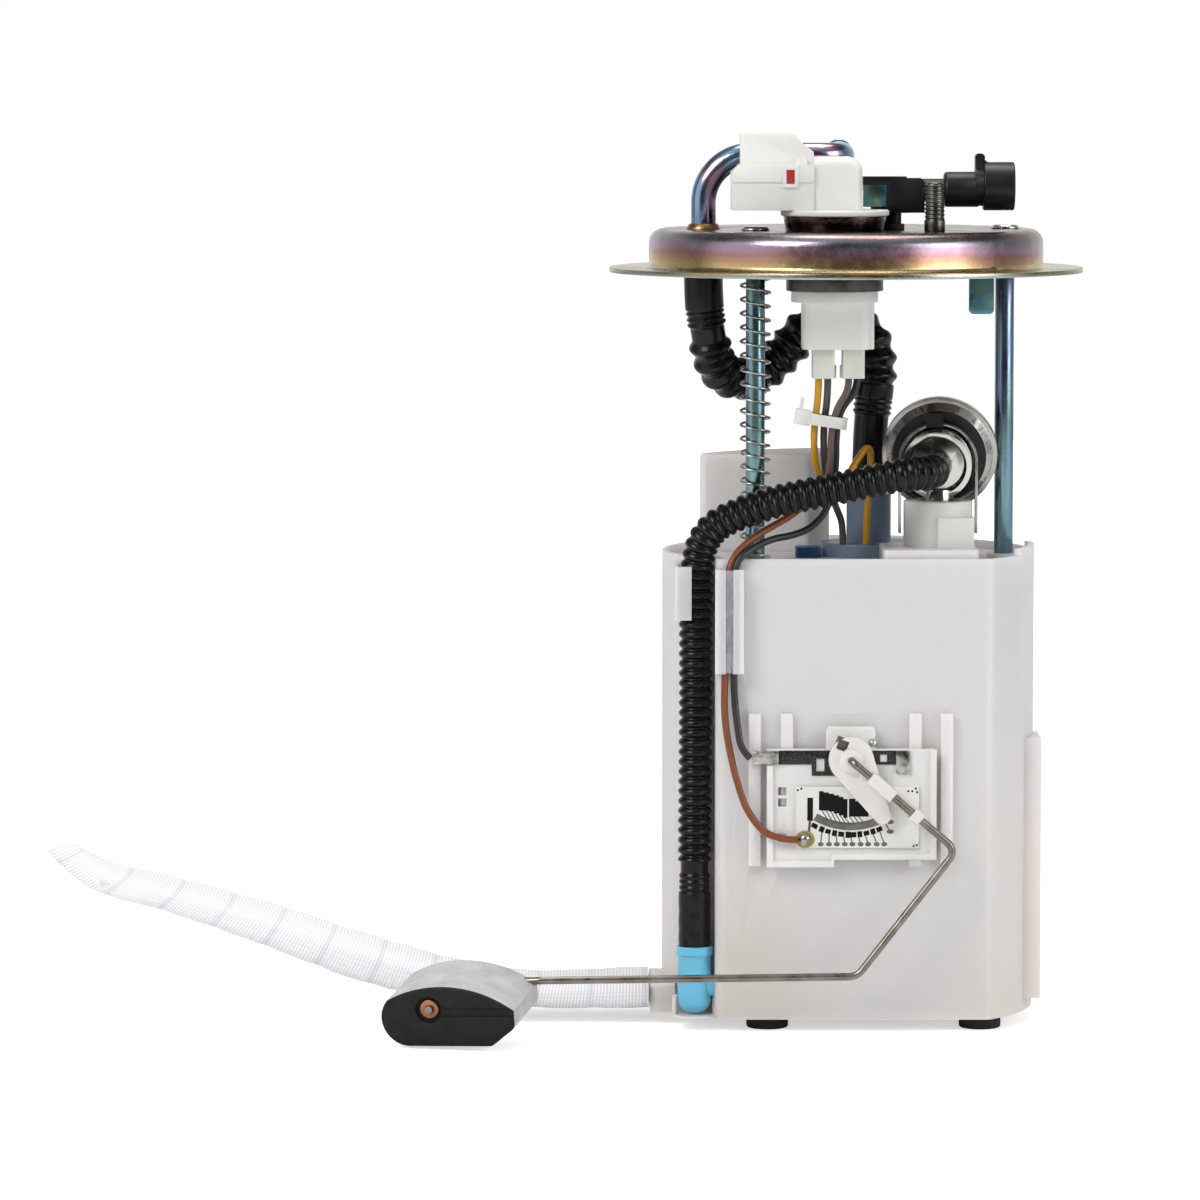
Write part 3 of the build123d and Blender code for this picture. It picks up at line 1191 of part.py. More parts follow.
def regulator_cup():
    """Socket on the cover that takes the regulator's spigot."""
    cup = post(cup_x(), CUP_Y, PLATFORM_TOP, CUP_TOP, CUP_RADIUS)
    cup = fillet(cup.edges().filter_by(GeomType.CIRCLE).sort_by(Axis.Z)[-1], 0.6)
    cup -= post(cup_x(), CUP_Y, PLATFORM_TOP - 1, CUP_TOP - 6.5, CUP_RADIUS - CUP_WALL)
    cup -= post(cup_x(), CUP_Y, CUP_TOP - 7, CUP_TOP + 1, REG_SPIGOT_RADIUS + SEAT_GAP)
    cup -= post(cup_x(), CUP_Y, CUP_TOP - 3.0, CUP_TOP + 1, REG_SPIGOT_RADIUS + 2.0)
    right = cup_x() + CUP_RADIUS
    front = CUP_Y - CUP_RADIUS - CUP_BLOCK_OUT
    key = block(CUP_BLOCK_LEFT, right, front, CUP_Y, PLATFORM_TOP, CUP_BLOCK_TOP)
    key -= post(cup_x(), CUP_Y, PLATFORM_TOP - 1, CUP_TOP, CUP_RADIUS - CUP_WALL / 2)
    cup += fillet(vertical_edges(key).sort_by(Axis.Y)[:2], 0.6)
    cup -= regulator_place() * Rot(90, 0, 0) * Pos(0, 0, REG_CAN_THICK / 2 + REG_NOSE_LONG / 2) * Cylinder(
        REG_NOSE_RADIUS + SEAT_GAP, REG_NOSE_LONG)
    can_space = Cylinder(REG_CAN_RADIUS + PIECE_GAP, REG_CAN_THICK + 2 * PIECE_GAP)
    return cup - regulator_place() * Rot(90, 0, 0) * can_space


def regulator_o_ring():
    """O-ring between the spigot and its socket."""
    middle = REG_SPIGOT_RADIUS + 1.0 + SEAT_GAP
    return Pos(cup_x(), CUP_Y, CUP_TOP - 2.0) * Torus(middle, 0.95)


def regulator_clip():
    """Spring steel strap over the regulator's nose, with legs down both sides of the cup."""
    inner = REG_NOSE_RADIUS + CLIP_STRIP_GAP + CLIP_STRIP / 2
    left = cup_x() - inner
    right = cup_x() + inner
    level = REG_Z - (REG_Y - CUP_Y) * tan(radians(REG_DIP))
    arch = ThreePointArc((left, level), (cup_x(), level + inner), (right, level))
    strip = trace([Line((left, CLIP_LEG_LOW), (left, level)), arch, Line((right, level), (right,
                                                                                          CLIP_LEG_LOW))],
                  CLIP_STRIP)
    clip = extrude(side_view(CUP_Y) * strip, CLIP_STRIP_WIDE / 2, both=True)
    front = CUP_Y - CLIP_STRIP_WIDE / 2
    return clip + block(CLIP_TAB_LEFT, CLIP_TAB_LEFT + CLIP_TAB_WIDE, front, front + CLIP_STRIP,
                        level + inner - CLIP_STRIP, CLIP_TAB_TOP)


def jet_elbow():
    """Elbow that takes the return hose and turns it into the reservoir."""
    elbow = post(ELBOW_X, ELBOW_Y, ELBOW_RIM_TOP - ELBOW_RIM_TALL, ELBOW_RIM_TOP, ELBOW_RIM_RADIUS)
    elbow = fillet(elbow.edges().filter_by(GeomType.CIRCLE), 0.5)
    barrel = post(ELBOW_X, ELBOW_Y, ELBOW_LOW, ELBOW_RIM_TOP - 1, ELBOW_RADIUS)
    barrel = fillet(barrel.edges().filter_by(GeomType.CIRCLE).sort_by(Axis.Z)[0], ELBOW_BOTTOM_ROUND)
    neck_end = CHANNEL_EDGE + RES_WALL + ELBOW_NECK_OUT
    elbow += barrel + post_x(ELBOW_Y, ELBOW_NECK_Z, ELBOW_X, neck_end, ELBOW_NECK_RADIUS)
    elbow -= post(ELBOW_X, ELBOW_Y, ELBOW_NECK_Z, ELBOW_RIM_TOP + 1, ELBOW_BORE)
    return elbow - post_x(ELBOW_Y, ELBOW_NECK_Z, ELBOW_X, neck_end + 1, ELBOW_BORE)


def jet_nozzle():
    """Tapered nozzle on the elbow's neck, inside the reservoir."""
    start = CHANNEL_EDGE + RES_WALL + ELBOW_NECK_OUT
    cone = Pos(start + JET_LONG / 2, ELBOW_Y, ELBOW_NECK_Z) * Rot(0, 90, 0) * Cone(
        ELBOW_NECK_RADIUS, JET_TIP_RADIUS, JET_LONG)
    return cone - post_x(ELBOW_Y, ELBOW_NECK_Z, start - 1, start + JET_LONG + 1, JET_BORE)


def rubber_feet():
    """Rubber feet pulled through the floor by their stems."""
    feet = []
    for x, y in FOOT_PLACES:
        foot = post(x, y, RES_BOTTOM - FOOT_TALL, RES_BOTTOM, FOOT_RADIUS)
        foot = fillet(foot.edges().filter_by(GeomType.CIRCLE).sort_by(Axis.Z)[0], 0.8)
        floor_top = RES_BOTTOM + RES_FLOOR
        stem = post(x, y, RES_BOTTOM - 1, floor_top + 1, FOOT_STEM_RADIUS)
        head = post(x, y, floor_top, floor_top + FOOT_HEAD_TALL, FOOT_HEAD_RADIUS)
        feet.append(foot + stem + head)
    return Compound(children=feet)


def check_valve():
    """Umbrella valve over the ports in the reservoir floor."""
    floor_top = RES_BOTTOM + RES_FLOOR
    disc = post(VALVE_X, VALVE_Y, floor_top, floor_top + VALVE_THICK, VALVE_RADIUS)
    stem = post(VALVE_X, VALVE_Y, RES_BOTTOM - VALVE_STEM_OUT, floor_top + ROOT, VALVE_STEM)
    return disc + stem


def sock_face(inset):
    """Side outline of the strainer bag: it leaves the reservoir level and curves up to the left."""
    lower = [(x, z + inset) for x, z in SOCK_LOWER]
    upper = [(x, z - inset) for x, z in SOCK_UPPER]
    lower[0] = (lower[0][0] - inset, lower[0][1])
    upper[0] = (upper[0][0] - inset, upper[0][1])
    lower[-1] = (lower[-1][0] + 2 * inset, lower[-1][1] + inset)
    upper[-1] = (upper[-1][0] + inset, upper[-1][1])
    edges = [Spline(*lower), Line(lower[-1], upper[-1]), Spline(*reversed(upper)), Line(upper[0], lower[0])]
    return side_view(PORT_Y) * make_face(edges)


def strainer_sock():
    """Nylon mesh bag, hollow, closed round the strainer neck."""
    bag = extrude(sock_face(0), SOCK_DEEP / 2, both=True)
    hollow = extrude(sock_face(SOCK_WALL), SOCK_DEEP / 2 - SOCK_WALL, both=True)
    half_y = NECK_DEEP / 2 + SEAT_GAP
    half_z = NECK_TALL / 2 + SEAT_GAP
    mouth = block(SOCK_LOWER[0][0] - 8, SOCK_LOWER[0][0] + 2, PORT_Y - half_y, PORT_Y + half_y,
                  NECK_Z - half_z, NECK_Z + half_z)
    return bag - hollow - fillet(mouth.edges().filter_by(Axis.X), NECK_CORNER)


def strainer_neck():
    """Flat moulded duct from the strainer bag through the port towards the pump inlet."""
    half_y = NECK_DEEP / 2
    half_z = NECK_TALL / 2
    duct = block(NECK_LEFT, NECK_RIGHT, PORT_Y - half_y, PORT_Y + half_y, NECK_Z - half_z, NECK_Z + half_z)
    duct = fillet(duct.edges().filter_by(Axis.X), NECK_CORNER)
    inner = block(NECK_LEFT - 1, NECK_RIGHT - NECK_WALL, PORT_Y - half_y + NECK_WALL,
                  PORT_Y + half_y - NECK_WALL, NECK_Z - half_z + NECK_WALL, NECK_Z + half_z - NECK_WALL)
    duct -= inner
    riser_x = PUMP_X
    riser_y = PUMP_Y
    bridge = block(NECK_RIGHT - 2 * NECK_WALL, riser_x, PORT_Y, riser_y, NECK_Z - half_z, NECK_Z + half_z)
    riser = post(riser_x, riser_y, NECK_Z - half_z, PUMP_INLET_LOW + 3.0, PUMP_INLET_RADIUS + 2.0)
    duct += bridge - inner + riser
    duct -= post(riser_x, riser_y, PUMP_INLET_LOW, PUMP_INLET_LOW + 4.0, PUMP_INLET_RADIUS + SEAT_GAP)
    return duct - post(riser_x, riser_y, NECK_Z, PUMP_INLET_LOW + 1, 3.5)


def strainer_skeleton():
    """Ladder of ribs that holds the bag open."""
    middle = [((low[0] + high[0]) / 2, (low[1] + high[1]) / 2) for low, high in zip(SOCK_LOWER, SOCK_UPPER)]
    path = Spline((NECK_LEFT - PIECE_GAP, NECK_Z), *middle[1:7])
    strip = trace([path], SKELETON_RIB)
    half = SKELETON_DEEP / 2
    ladder = extrude(side_view(PORT_Y) * strip, half, both=True)
    rungs = [path @ (i / SKELETON_RUNGS) for i in range(SKELETON_RUNGS + 1)]
    for side in (-1, 1):
        middle_y = PORT_Y + side * half / 2
        half_window = half / 2 - SKELETON_STRINGER
        for right, left in zip(rungs, rungs[1:]):
            ladder -= block(left.X + SKELETON_STRINGER / 2, right.X - SKELETON_STRINGER / 2,
                            middle_y - half_window, middle_y + half_window, RES_BOTTOM, RES_TOP)
    return ladder


# ================================================================ level sender
def sender_frame():
    """Moulded frame clipped on the rails: stepped base and rim, bridge behind the hub and its pivot boss."""
    back = -RES_FRONT - RAIL_OUT
    base_front = back - FRAME_BASE
    rim_front = base_front - FRAME_RIM
    frame = block(FRAME_LEFT, FRAME_STEP_X, rim_front, back, FRAME_LOW, FRAME_TOP)
    frame += block(FRAME_STEP_X - 1, FRAME_RIGHT, rim_front, back, FRAME_LOW_RIGHT, FRAME_TOP)
    left = FRAME_LEFT + FRAME_RIM_WIDE
    step = FRAME_STEP_X - FRAME_RIM_WIDE
    frame -= block(left, step + 1, rim_front - 1, base_front, FRAME_LOW + FRAME_RIM_WIDE, FRAME_TOP + 1)
    frame -= block(step, FRAME_RIGHT - FRAME_RIM_WIDE, rim_front - 1, base_front,
                   FRAME_LOW_RIGHT + FRAME_RIM_WIDE, FRAME_TOP + 1)
    half = HUB_BRIDGE / 2
    bridge = block(HUB_X - half, HUB_X + half, base_front, back, FRAME_TOP - 2, HUB_BRIDGE_TOP)
    frame += fillet(bridge.edges().filter_by(Axis.Y).sort_by(Axis.Z)[-2:], HUB_BRIDGE_CORNER)
    frame -= block(FRAME_LEFT - 1, left + 1, rim_front - 1, base_front,
                   STRIP_TOP - CRIMP_TALL - PIECE_GAP, FRAME_TOP + 1)
    for low in FRAME_WINDOWS:
        frame -= block(FRAME_WINDOW_X, FRAME_WINDOW_X + FRAME_WINDOW, base_front - 1, back + 1, low,
                       low + FRAME_WINDOW)
    frame += post_y(HUB_X, HUB_Z, ARM_PLATE_Y + PIECE_GAP, back, PIVOT_BOSS_RADIUS)
    frame -= post_y(HUB_X, HUB_Z, ARM_PLATE_Y - 1, back - PIVOT_FLOOR, FLOAT_WIRE / 2 + RUNNING_GAP)
    return frame


def resistor_card():
    """Ceramic card that carries the printed resistor."""
    back = -RES_FRONT - RAIL_OUT - FRAME_BASE
    return block(CARD_LEFT, CARD_RIGHT, back - CARD_THICK, back, CARD_LOW, CARD_TOP)


def contact_strip():
    """Ground strip above the card, with two windows and a tab, left clear round the pivot boss."""
    back = -RES_FRONT - RAIL_OUT - FRAME_BASE
    front = back - STRIP_THICK
    strip = block(STRIP_LEFT, STRIP_RIGHT, front, back, STRIP_LOW, STRIP_TOP)
    strip += block(STRIP_TAB_LEFT, STRIP_TAB_RIGHT, front, back, STRIP_LOW - STRIP_TAB_TALL, STRIP_LOW + ROOT)
    for left, low, wide, tall in STRIP_WINDOWS:
        strip -= block(left, left + wide, front - 1, back + 1, STRIP_LOW + low, STRIP_LOW + low + tall)
    return strip - post_y(HUB_X, HUB_Z, front - 1, back + 1, PIVOT_BOSS_RADIUS + SEAT_GAP)


def sender_terminals():
    """Crimp on the strip's left end, clinched tab on its right end, a rivet and the solder bead on the card."""
    back = -RES_FRONT - RAIL_OUT - FRAME_BASE
    strip_front = back - STRIP_THICK
    crimp_back = strip_front + STRIP_THICK
    crimp = block(STRIP_LEFT - CRIMP_LONG, STRIP_LEFT - SEAT_GAP, crimp_back - CRIMP_THICK, crimp_back,
                  STRIP_TOP - CRIMP_TALL, STRIP_TOP)
    crimp = fillet(crimp.edges().filter_by(Axis.X), CRIMP_ROUND)
    tab = block(STRIP_RIGHT + SEAT_GAP, STRIP_RIGHT + CLINCH_LONG, strip_front - CLINCH_OUT, back,
                STRIP_LOW - CLINCH_LOW, STRIP_TOP)
    card_front = back - CARD_THICK
    bead = half_ball(SOLDER_X, card_front, SOLDER_Z, SOLDER_RADIUS)
    rivet = half_ball(RIVET_PLACE[0], back, RIVET_PLACE[1], RIVET_RADIUS)
    return Compound(children=[crimp, tab, bead, rivet])


def half_ball(x, y, z, radius):
    """Half of a ball on a surface that faces the front."""
    return Pos(x, y, z) * Sphere(radius) - block(x - 2 * radius, x + 2 * radius, y, y + 2 * radius,
                                                 z - 2 * radius, z + 2 * radius)


def arm_direction():
    """Unit direction, in X and Z, of the wire where it leaves the hub."""
    dx = ARM_BEND[0] - HUB_X
    dz = ARM_BEND[1] - HUB_Z
    length = sqrt(dx * dx + dz * dz)
    return dx / length, dz / length


def wire_route():
    """Centre line of the float wire, from the pivot to the float's pin."""
    pin_back = Vector(*FLOAT_PIN)
    pin_front = float_place() * Pos(0, -FLOAT_DEEP + FLOAT_BACK - PIN_PROUD + NUT_RECESS, 0)
    groove = float_place() * Pos(FLOAT_RIGHT + GROOVE_LEAD, 0, FLOAT_GROOVE_UP)
    return [
        (HUB_X, PIVOT_END, HUB_Z),
        (HUB_X, WIRE_PLANE, HUB_Z),
        (ARM_BEND[0], WIRE_PLANE, ARM_BEND[1]),
        (ARM_LOW[0], WIRE_PLANE - ARM_LEAN, ARM_LOW[1]),
        tuple(groove.position),
        tuple(pin_back),
        tuple(pin_front.position),
    ]


def float_wire():
    """Steel wire, cranked from the pivot through the arm's clips and along the back of the float."""
    return round_bar(wire_route(), FLOAT_WIRE / 2, WIRE_BENDS)


def along_wire(distance):
    dx, dz = arm_direction()
    return HUB_X + dx * distance, HUB_Z + dz * distance


def wiper_arm():
    """Moulded wiper arm: hub, tapered plate over the card and two clips that hold the wire."""
    plate_front = ARM_PLATE_Y - ARM_PLATE_THICK
    hub = Pos(HUB_X, HUB_Z) * Circle(HUB_RADIUS)
    tip = Pos(ARM_TIP_X, ARM_TIP_Z) * Circle(ARM_TIP_RADIUS)
    blade = make_hull([*hub.edges(), *tip.edges()])
    arm = extrude(side_view(ARM_PLATE_Y) * blade, ARM_PLATE_THICK)
    window = Rot(0, HUB_WINDOW_TURN, 0) * Box(HUB_WINDOW, 2 * ARM_PLATE_THICK + 1, HUB_WINDOW)
    arm -= Pos(HUB_WINDOW_PLACE[0], ARM_PLATE_Y - ARM_PLATE_THICK / 2, HUB_WINDOW_PLACE[1]) * window
    arm += post_y(HUB_X, HUB_Z, WIRE_PLANE + FLOAT_WIRE / 2 + PIECE_GAP, ARM_PLATE_Y, HUB_BOSS_RADIUS)
    dx, dz = arm_direction()
    angle = Vector(1, 0, 0).get_angle(Vector(dx, dz, 0))
    rib_front = WIRE_PLANE + FLOAT_WIRE / 2 + PIECE_GAP
    rib_long = CLIP_TWO + CLIP_TWO_LONG / 2
    rib_x, rib_z = along_wire(rib_long / 2)
    rib_deep = ARM_PLATE_Y - rib_front
    rib = Box(rib_long, rib_deep, CLIP_BLOCK - 1)
    arm += Pos(rib_x, (rib_front + ARM_PLATE_Y) / 2, rib_z) * Rot(0, angle, 0) * rib
    for place, long in ((CLIP_ONE, CLIP_ONE_LONG), (CLIP_TWO, CLIP_TWO_LONG)):
        x, z = along_wire(place)
        front = WIRE_PLANE - CLIP_BLOCK / 2
        deep = plate_front + ROOT - front
        clip = Box(long, deep, CLIP_BLOCK)
        clip = fillet(clip.edges().filter_by(Axis.X), CLIP_ROUND)
        arm += Pos(x, front + deep / 2, z) * Rot(0, angle, 0) * clip
    return arm - round_bar(wire_route(), FLOAT_WIRE / 2 + WIRE_FIT, WIRE_BENDS)


def wiper_contacts():
    """Sprung contact leaf under the wiper arm, with its fingers bent towards the card."""
    card_front = -RES_FRONT - RAIL_OUT - FRAME_BASE - CARD_THICK
    left = ARM_TIP_X - CONTACT_WIDE / 2
    right = ARM_TIP_X + CONTACT_WIDE / 2
    low = ARM_TIP_Z - CONTACT_LOW
    leaf = block(left, right, ARM_PLATE_Y, ARM_PLATE_Y + CONTACT_THICK, low, low + CONTACT_LONG)
    return leaf + block(left, right, ARM_PLATE_Y, card_front - PIECE_GAP, low, low + CONTACT_FINGER)


def float_place():
    """The float's own frame: its pin lies along local Y, the back of the float is at +Y."""
    return Pos(*FLOAT_PIN) * Rot(FLOAT_PITCH, 0, FLOAT_YAW) * Rot(0, FLOAT_ROLL, 0)


def float_profile():
    """Side outline of the float: crowned top, round nose at the left and a raked lower right."""
    nose_top = (FLOAT_LEFT + 2.2, FLOAT_SHOULDER + 3.2)
    tip = (FLOAT_RIGHT, FLOAT_SHOULDER)
    edges = [
        ThreePointArc(nose_top, (FLOAT_CROWN, FLOAT_TOP), tip),
        Line(tip, (FLOAT_RIGHT, FLOAT_NOSE)),
        Line((FLOAT_RIGHT, FLOAT_NOSE), (FLOAT_HEEL, FLOAT_LOW)),
        Line((FLOAT_HEEL, FLOAT_LOW), (FLOAT_TOE, FLOAT_LOW)),
        ThreePointArc((FLOAT_TOE, FLOAT_LOW), (FLOAT_LEFT, FLOAT_NOSE + 3.0), nose_top),
    ]
    face = make_face(edges)
    lower = face.vertices().filter_by(lambda v: v.X > 0 and v.Y < FLOAT_SHOULDER - 1)
    face = fillet(lower, FLOAT_ROUND)
    return fillet(face.vertices().sort_by(Axis.X)[-1], FLOAT_TIP_ROUND)


def float_body():
    """Black rubber float, bored for the wire, grooved along its back and recessed for the push nut."""
    plane = side_view(FLOAT_BACK)
    body = extrude(plane * float_profile(), FLOAT_DEEP)
    body = fillet(body.faces().sort_by(Axis.Y)[0].edges(), FLOAT_EDGE)
    front = FLOAT_BACK - FLOAT_DEEP
    body -= post_y(0, 0, front - 1, front + NUT_RECESS, NUT_RECESS_RADIUS)
    body -= block(0, FLOAT_RIGHT + 1, front - 1, front + FLOAT_SLOT_DEEP, *FLOAT_SLOT)
    return float_place() * body - round_bar(wire_route(), FLOAT_WIRE / 2 + WIRE_FIT, WIRE_BENDS)


def float_push_nut():
    """Copper push nut that holds the float on its pin."""
    seat = FLOAT_BACK - FLOAT_DEEP + NUT_RECESS
    nut = post_y(0, 0, seat - NUT_THICK, seat, NUT_RADIUS)
    nut = fillet(nut.edges().filter_by(GeomType.CIRCLE).sort_by(Axis.Y)[0], NUT_THICK / 2)
    nut -= post_y(0, 0, seat - 2 * NUT_THICK, seat + 1, FLOAT_WIRE / 2 + WIRE_FIT)
    return float_place() * nut


# ================================================================ hoses and wires
def return_route():
    """Centre line of the return hose: out of the regulator's nose and away to the elbow."""
    seat = REG_CAN_THICK / 2 + REG_NOSE_LONG - REG_NOSE_RECESS + REG_NOZZLE_LONG
    start = regulator_place() * Pos(0, -seat, 0)
    ahead = regulator_place() * Pos(0, -seat - RETURN_LEAD, 0)
    return [tuple(start.position), tuple(ahead.position), *RETURN_TAIL]


def wire_group(routes):
    return Compound(children=[round_bar(route, WIRE / 2) for route in routes])


def write(name, shape):
    export_step(shape, f"parts/{name}.step")


def main():
    os.makedirs("parts", exist_ok=True)
    pieces = {
        "flange_plate": flange_plate(),
        "connector_collar": connector_collar(),
        "connector_seat": connector_seat(),
        "connector_housing": connector_housing(),
        "connector_lock": connector_lock(),
        "connector_terminals": blades(),
        "lower_retaining_ring": lower_retaining_ring(),
        "lower_connector": lower_connector(),
        "harness_plugs": harness_plugs(),
        "outlet_pipe": outlet_pipe(),
        "pipe_braze_ring": pipe_braze_ring(),
        "ground_stud": ground_stud(),
        "pressure_sensor": pressure_sensor(),
        "sensor_bracket": sensor_bracket(),
        "sensor_seal": sensor_seal(),
        "rod_left": guide_rod(ROD_LEFT),
        "rod_right": guide_rod(ROD_RIGHT),
        "rod_clips": rod_clips(),
        "rod_spring": rod_spring(),
        "hanging_tab": hanging_tab(),
        "cable_tie": cable_tie(),
        "feed_hose": round_bar(FEED_ROUTE, FEED_HOSE / 2),
        "pump_wires": wire_group([YELLOW_ROUTE, POWER_ROUTE]),
        "sender_wires": wire_group([SENSE_A_ROUTE, SENSE_B_ROUTE]),
        "reservoir": reservoir(),
        "reservoir_cover": reservoir_cover(),
        "filter_housing": filter_housing(),
        "filter_element": filter_element(),
        "pump_cap": pump_cap(),
        "cap_clip": cap_clip(),
        "fuel_pump": fuel_pump(),
        "pump_isolator": pump_isolator(),
        "regulator_can": regulator_can(),
        "regulator_cup": regulator_cup(),
        "regulator_o_ring": regulator_o_ring(),
        "regulator_clip": regulator_clip(),
        "return_hose": round_bar(return_route(), RETURN_HOSE / 2),
        "jet_elbow": jet_elbow(),
        "jet_nozzle": jet_nozzle(),
        "rubber_feet": rubber_feet(),
        "check_valve": check_valve(),
        "strainer_sock": strainer_sock(),
        "strainer_neck": strainer_neck(),
        "strainer_skeleton": strainer_skeleton(),
        "sender_frame": sender_frame(),
        "resistor_card": resistor_card(),
        "contact_strip": contact_strip(),
        "sender_terminals": sender_terminals(),
        "wiper_arm": wiper_arm(),
        "wiper_contacts": wiper_contacts(),
        "float_wire": float_wire(),
        "float": float_body(),
        "float_push_nut": float_push_nut(),
    }
    for name, shape in pieces.items():
        write(name, shape)
    report_route("feed hose", FEED_ROUTE)
    report_route("return hose", return_route())
    report_route("yellow wire", YELLOW_ROUTE)
    report_route("power wire", POWER_ROUTE)
    report_route("sender wire, first", SENSE_A_ROUTE)
    report_route("sender wire, second", SENSE_B_ROUTE)


main()
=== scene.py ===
import json
from bisect import bisect_left
from math import cos, pi, radians, sin

import bmesh
import bpy
from mathutils import Matrix, Vector


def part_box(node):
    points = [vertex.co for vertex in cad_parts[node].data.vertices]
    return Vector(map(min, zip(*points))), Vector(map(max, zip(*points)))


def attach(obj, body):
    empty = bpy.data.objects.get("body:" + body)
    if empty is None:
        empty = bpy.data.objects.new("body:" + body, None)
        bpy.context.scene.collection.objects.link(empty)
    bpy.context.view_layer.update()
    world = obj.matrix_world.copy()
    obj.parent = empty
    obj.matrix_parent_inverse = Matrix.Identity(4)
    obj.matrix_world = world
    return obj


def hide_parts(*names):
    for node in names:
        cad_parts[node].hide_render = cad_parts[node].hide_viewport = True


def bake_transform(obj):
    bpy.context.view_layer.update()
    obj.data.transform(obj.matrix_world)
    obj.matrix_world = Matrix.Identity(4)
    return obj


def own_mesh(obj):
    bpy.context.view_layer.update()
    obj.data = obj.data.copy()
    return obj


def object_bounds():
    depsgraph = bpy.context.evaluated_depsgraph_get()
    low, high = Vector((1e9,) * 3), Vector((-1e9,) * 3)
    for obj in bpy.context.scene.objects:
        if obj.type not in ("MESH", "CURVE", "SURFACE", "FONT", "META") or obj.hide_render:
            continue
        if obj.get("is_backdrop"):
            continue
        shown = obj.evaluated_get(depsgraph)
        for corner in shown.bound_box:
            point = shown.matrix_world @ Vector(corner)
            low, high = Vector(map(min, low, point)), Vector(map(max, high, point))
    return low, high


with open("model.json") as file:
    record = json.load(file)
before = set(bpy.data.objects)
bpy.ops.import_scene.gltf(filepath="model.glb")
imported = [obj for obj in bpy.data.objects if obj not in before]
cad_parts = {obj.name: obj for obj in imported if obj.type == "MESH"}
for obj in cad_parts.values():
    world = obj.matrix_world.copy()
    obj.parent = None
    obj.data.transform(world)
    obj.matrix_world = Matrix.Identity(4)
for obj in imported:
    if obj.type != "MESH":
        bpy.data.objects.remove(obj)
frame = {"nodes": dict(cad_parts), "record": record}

bl_info = {
    "name": "In-tank fuel pump module",
    "version": (1, 0, 0),
    "blender": (4, 5, 0),
    "location": "View3D > Sidebar > Pump module",
    "description": "Dresses the fuel pump module: finishes, hoses, wires, spring, sender and strainer",
    "category": "Object",
}

MM = 0.001
FLANGE, RESERVOIR, ARM = "flange", "reservoir_unit", "sender_arm"

# Kinds of node that recur.
NOISE, RAMP, MATH = "ShaderNodeTexNoise", "ShaderNodeValToRGB", "ShaderNodeMath"
RANGE, MIX, SPLIT = "ShaderNodeMapRange", "ShaderNodeMix", "ShaderNodeSeparateXYZ"


# ---------------- small tools
def linear(code):
    """sRGB hex colour as linear RGBA."""
    channels = [int(code[i:i + 2], 16) / 255 for i in (1, 3, 5)]
    return [c / 12.92 if c <= 0.04045 else ((c + 0.055) / 1.055) ** 2.4 for c in channels] + [1.0]


def mm(*values):
    return Vector(values) * MM


def fill(tree, target, inputs):
    """Sets a node's inputs by name or number, to a value, a socket or a node that means its first output."""
    for key, value in inputs.items():
        if isinstance(value, bpy.types.Node):
            value = value.outputs[0]
        if isinstance(value, bpy.types.NodeSocket):
            tree.links.new(value, target.inputs[key])
        else:
            target.inputs[key].default_value = value


def node(tree, kind, inputs=None, stops=(), **settings):
    """Adds a node with its settings, its inputs, and its (place, hex colour) stops if it is a colour ramp."""
    new = tree.nodes.new(kind)
    for key, value in settings.items():
        setattr(new, key, value)
    fill(tree, new, inputs or {})
    if stops:
        elements = new.color_ramp.elements
        while len(elements) < len(stops):
            elements.new(0.5)
        for element, (place, code) in zip(elements, stops):
            element.position = place
            element.color = linear(code)
    return new


# ---------------- materials
# The scale of every noise is about the number of its patches in a metre, and every relief's depth is in mm.
def new_material(name):
    material = bpy.data.materials.new(name)
    material.use_nodes = True
    tree = material.node_tree
    place = node(tree, "ShaderNodeTexCoord").outputs["Object"]
    return material, tree, tree.nodes["Principled BSDF"], place


def mottle(tree, place, scale, detail, stops):
    """Colour that drifts from place to place through the stops."""
    patches = node(tree, NOISE, {"Vector": place, "Scale": scale, "Detail": detail})
    return node(tree, RAMP, {0: patches}, stops)


def add_relief(tree, shader, height, strength, depth):
    bump = node(tree, "ShaderNodeBump", {"Height": height, "Strength": strength, "Distance": depth * MM})
    fill(tree, shader, {"Normal": bump})


def add_grain(tree, shader, place, scale, detail, strength, depth):
    grain = node(tree, NOISE, {"Vector": place, "Scale": scale, "Detail": detail})
    add_relief(tree, shader, grain, strength, depth)


def add_roughness(tree, shader, place, low, high, scale):
    """Roughness that drifts between two values."""
    patches = node(tree, NOISE, {"Vector": place, "Scale": scale, "Detail": 4.0})
    fill(tree, shader, {"Roughness": node(tree, RANGE, {0: patches, 1: 0.3, 2: 0.7, 3: low, 4: high})})


def moulded_plastic(name, colour, shade, rough=0.42, grain=0.12, glow=0.0, gloss=0.5):
    """Injection moulded part: even colour with faint flow clouds, fine spark-eroded grain, soft gloss."""
    material, tree, shader, place = new_material(name)
    clouds = mottle(tree, place, 45.0, 3.0, [(0.32, shade), (0.68, colour)])
    fill(tree, shader, {"Base Color": clouds, "IOR": 1.5, "Specular IOR Level": gloss})
    add_roughness(tree, shader, place, rough - 0.06, rough + 0.08, 160.0)
    add_grain(tree, shader, place, 2600.0, 2.0, 0.35, grain)
    if glow:
        fill(tree, shader, {"Subsurface Weight": glow, "Subsurface Radius": (1.0, 0.9, 0.8),
                            "Subsurface Scale": 2.5 * MM})
    return material


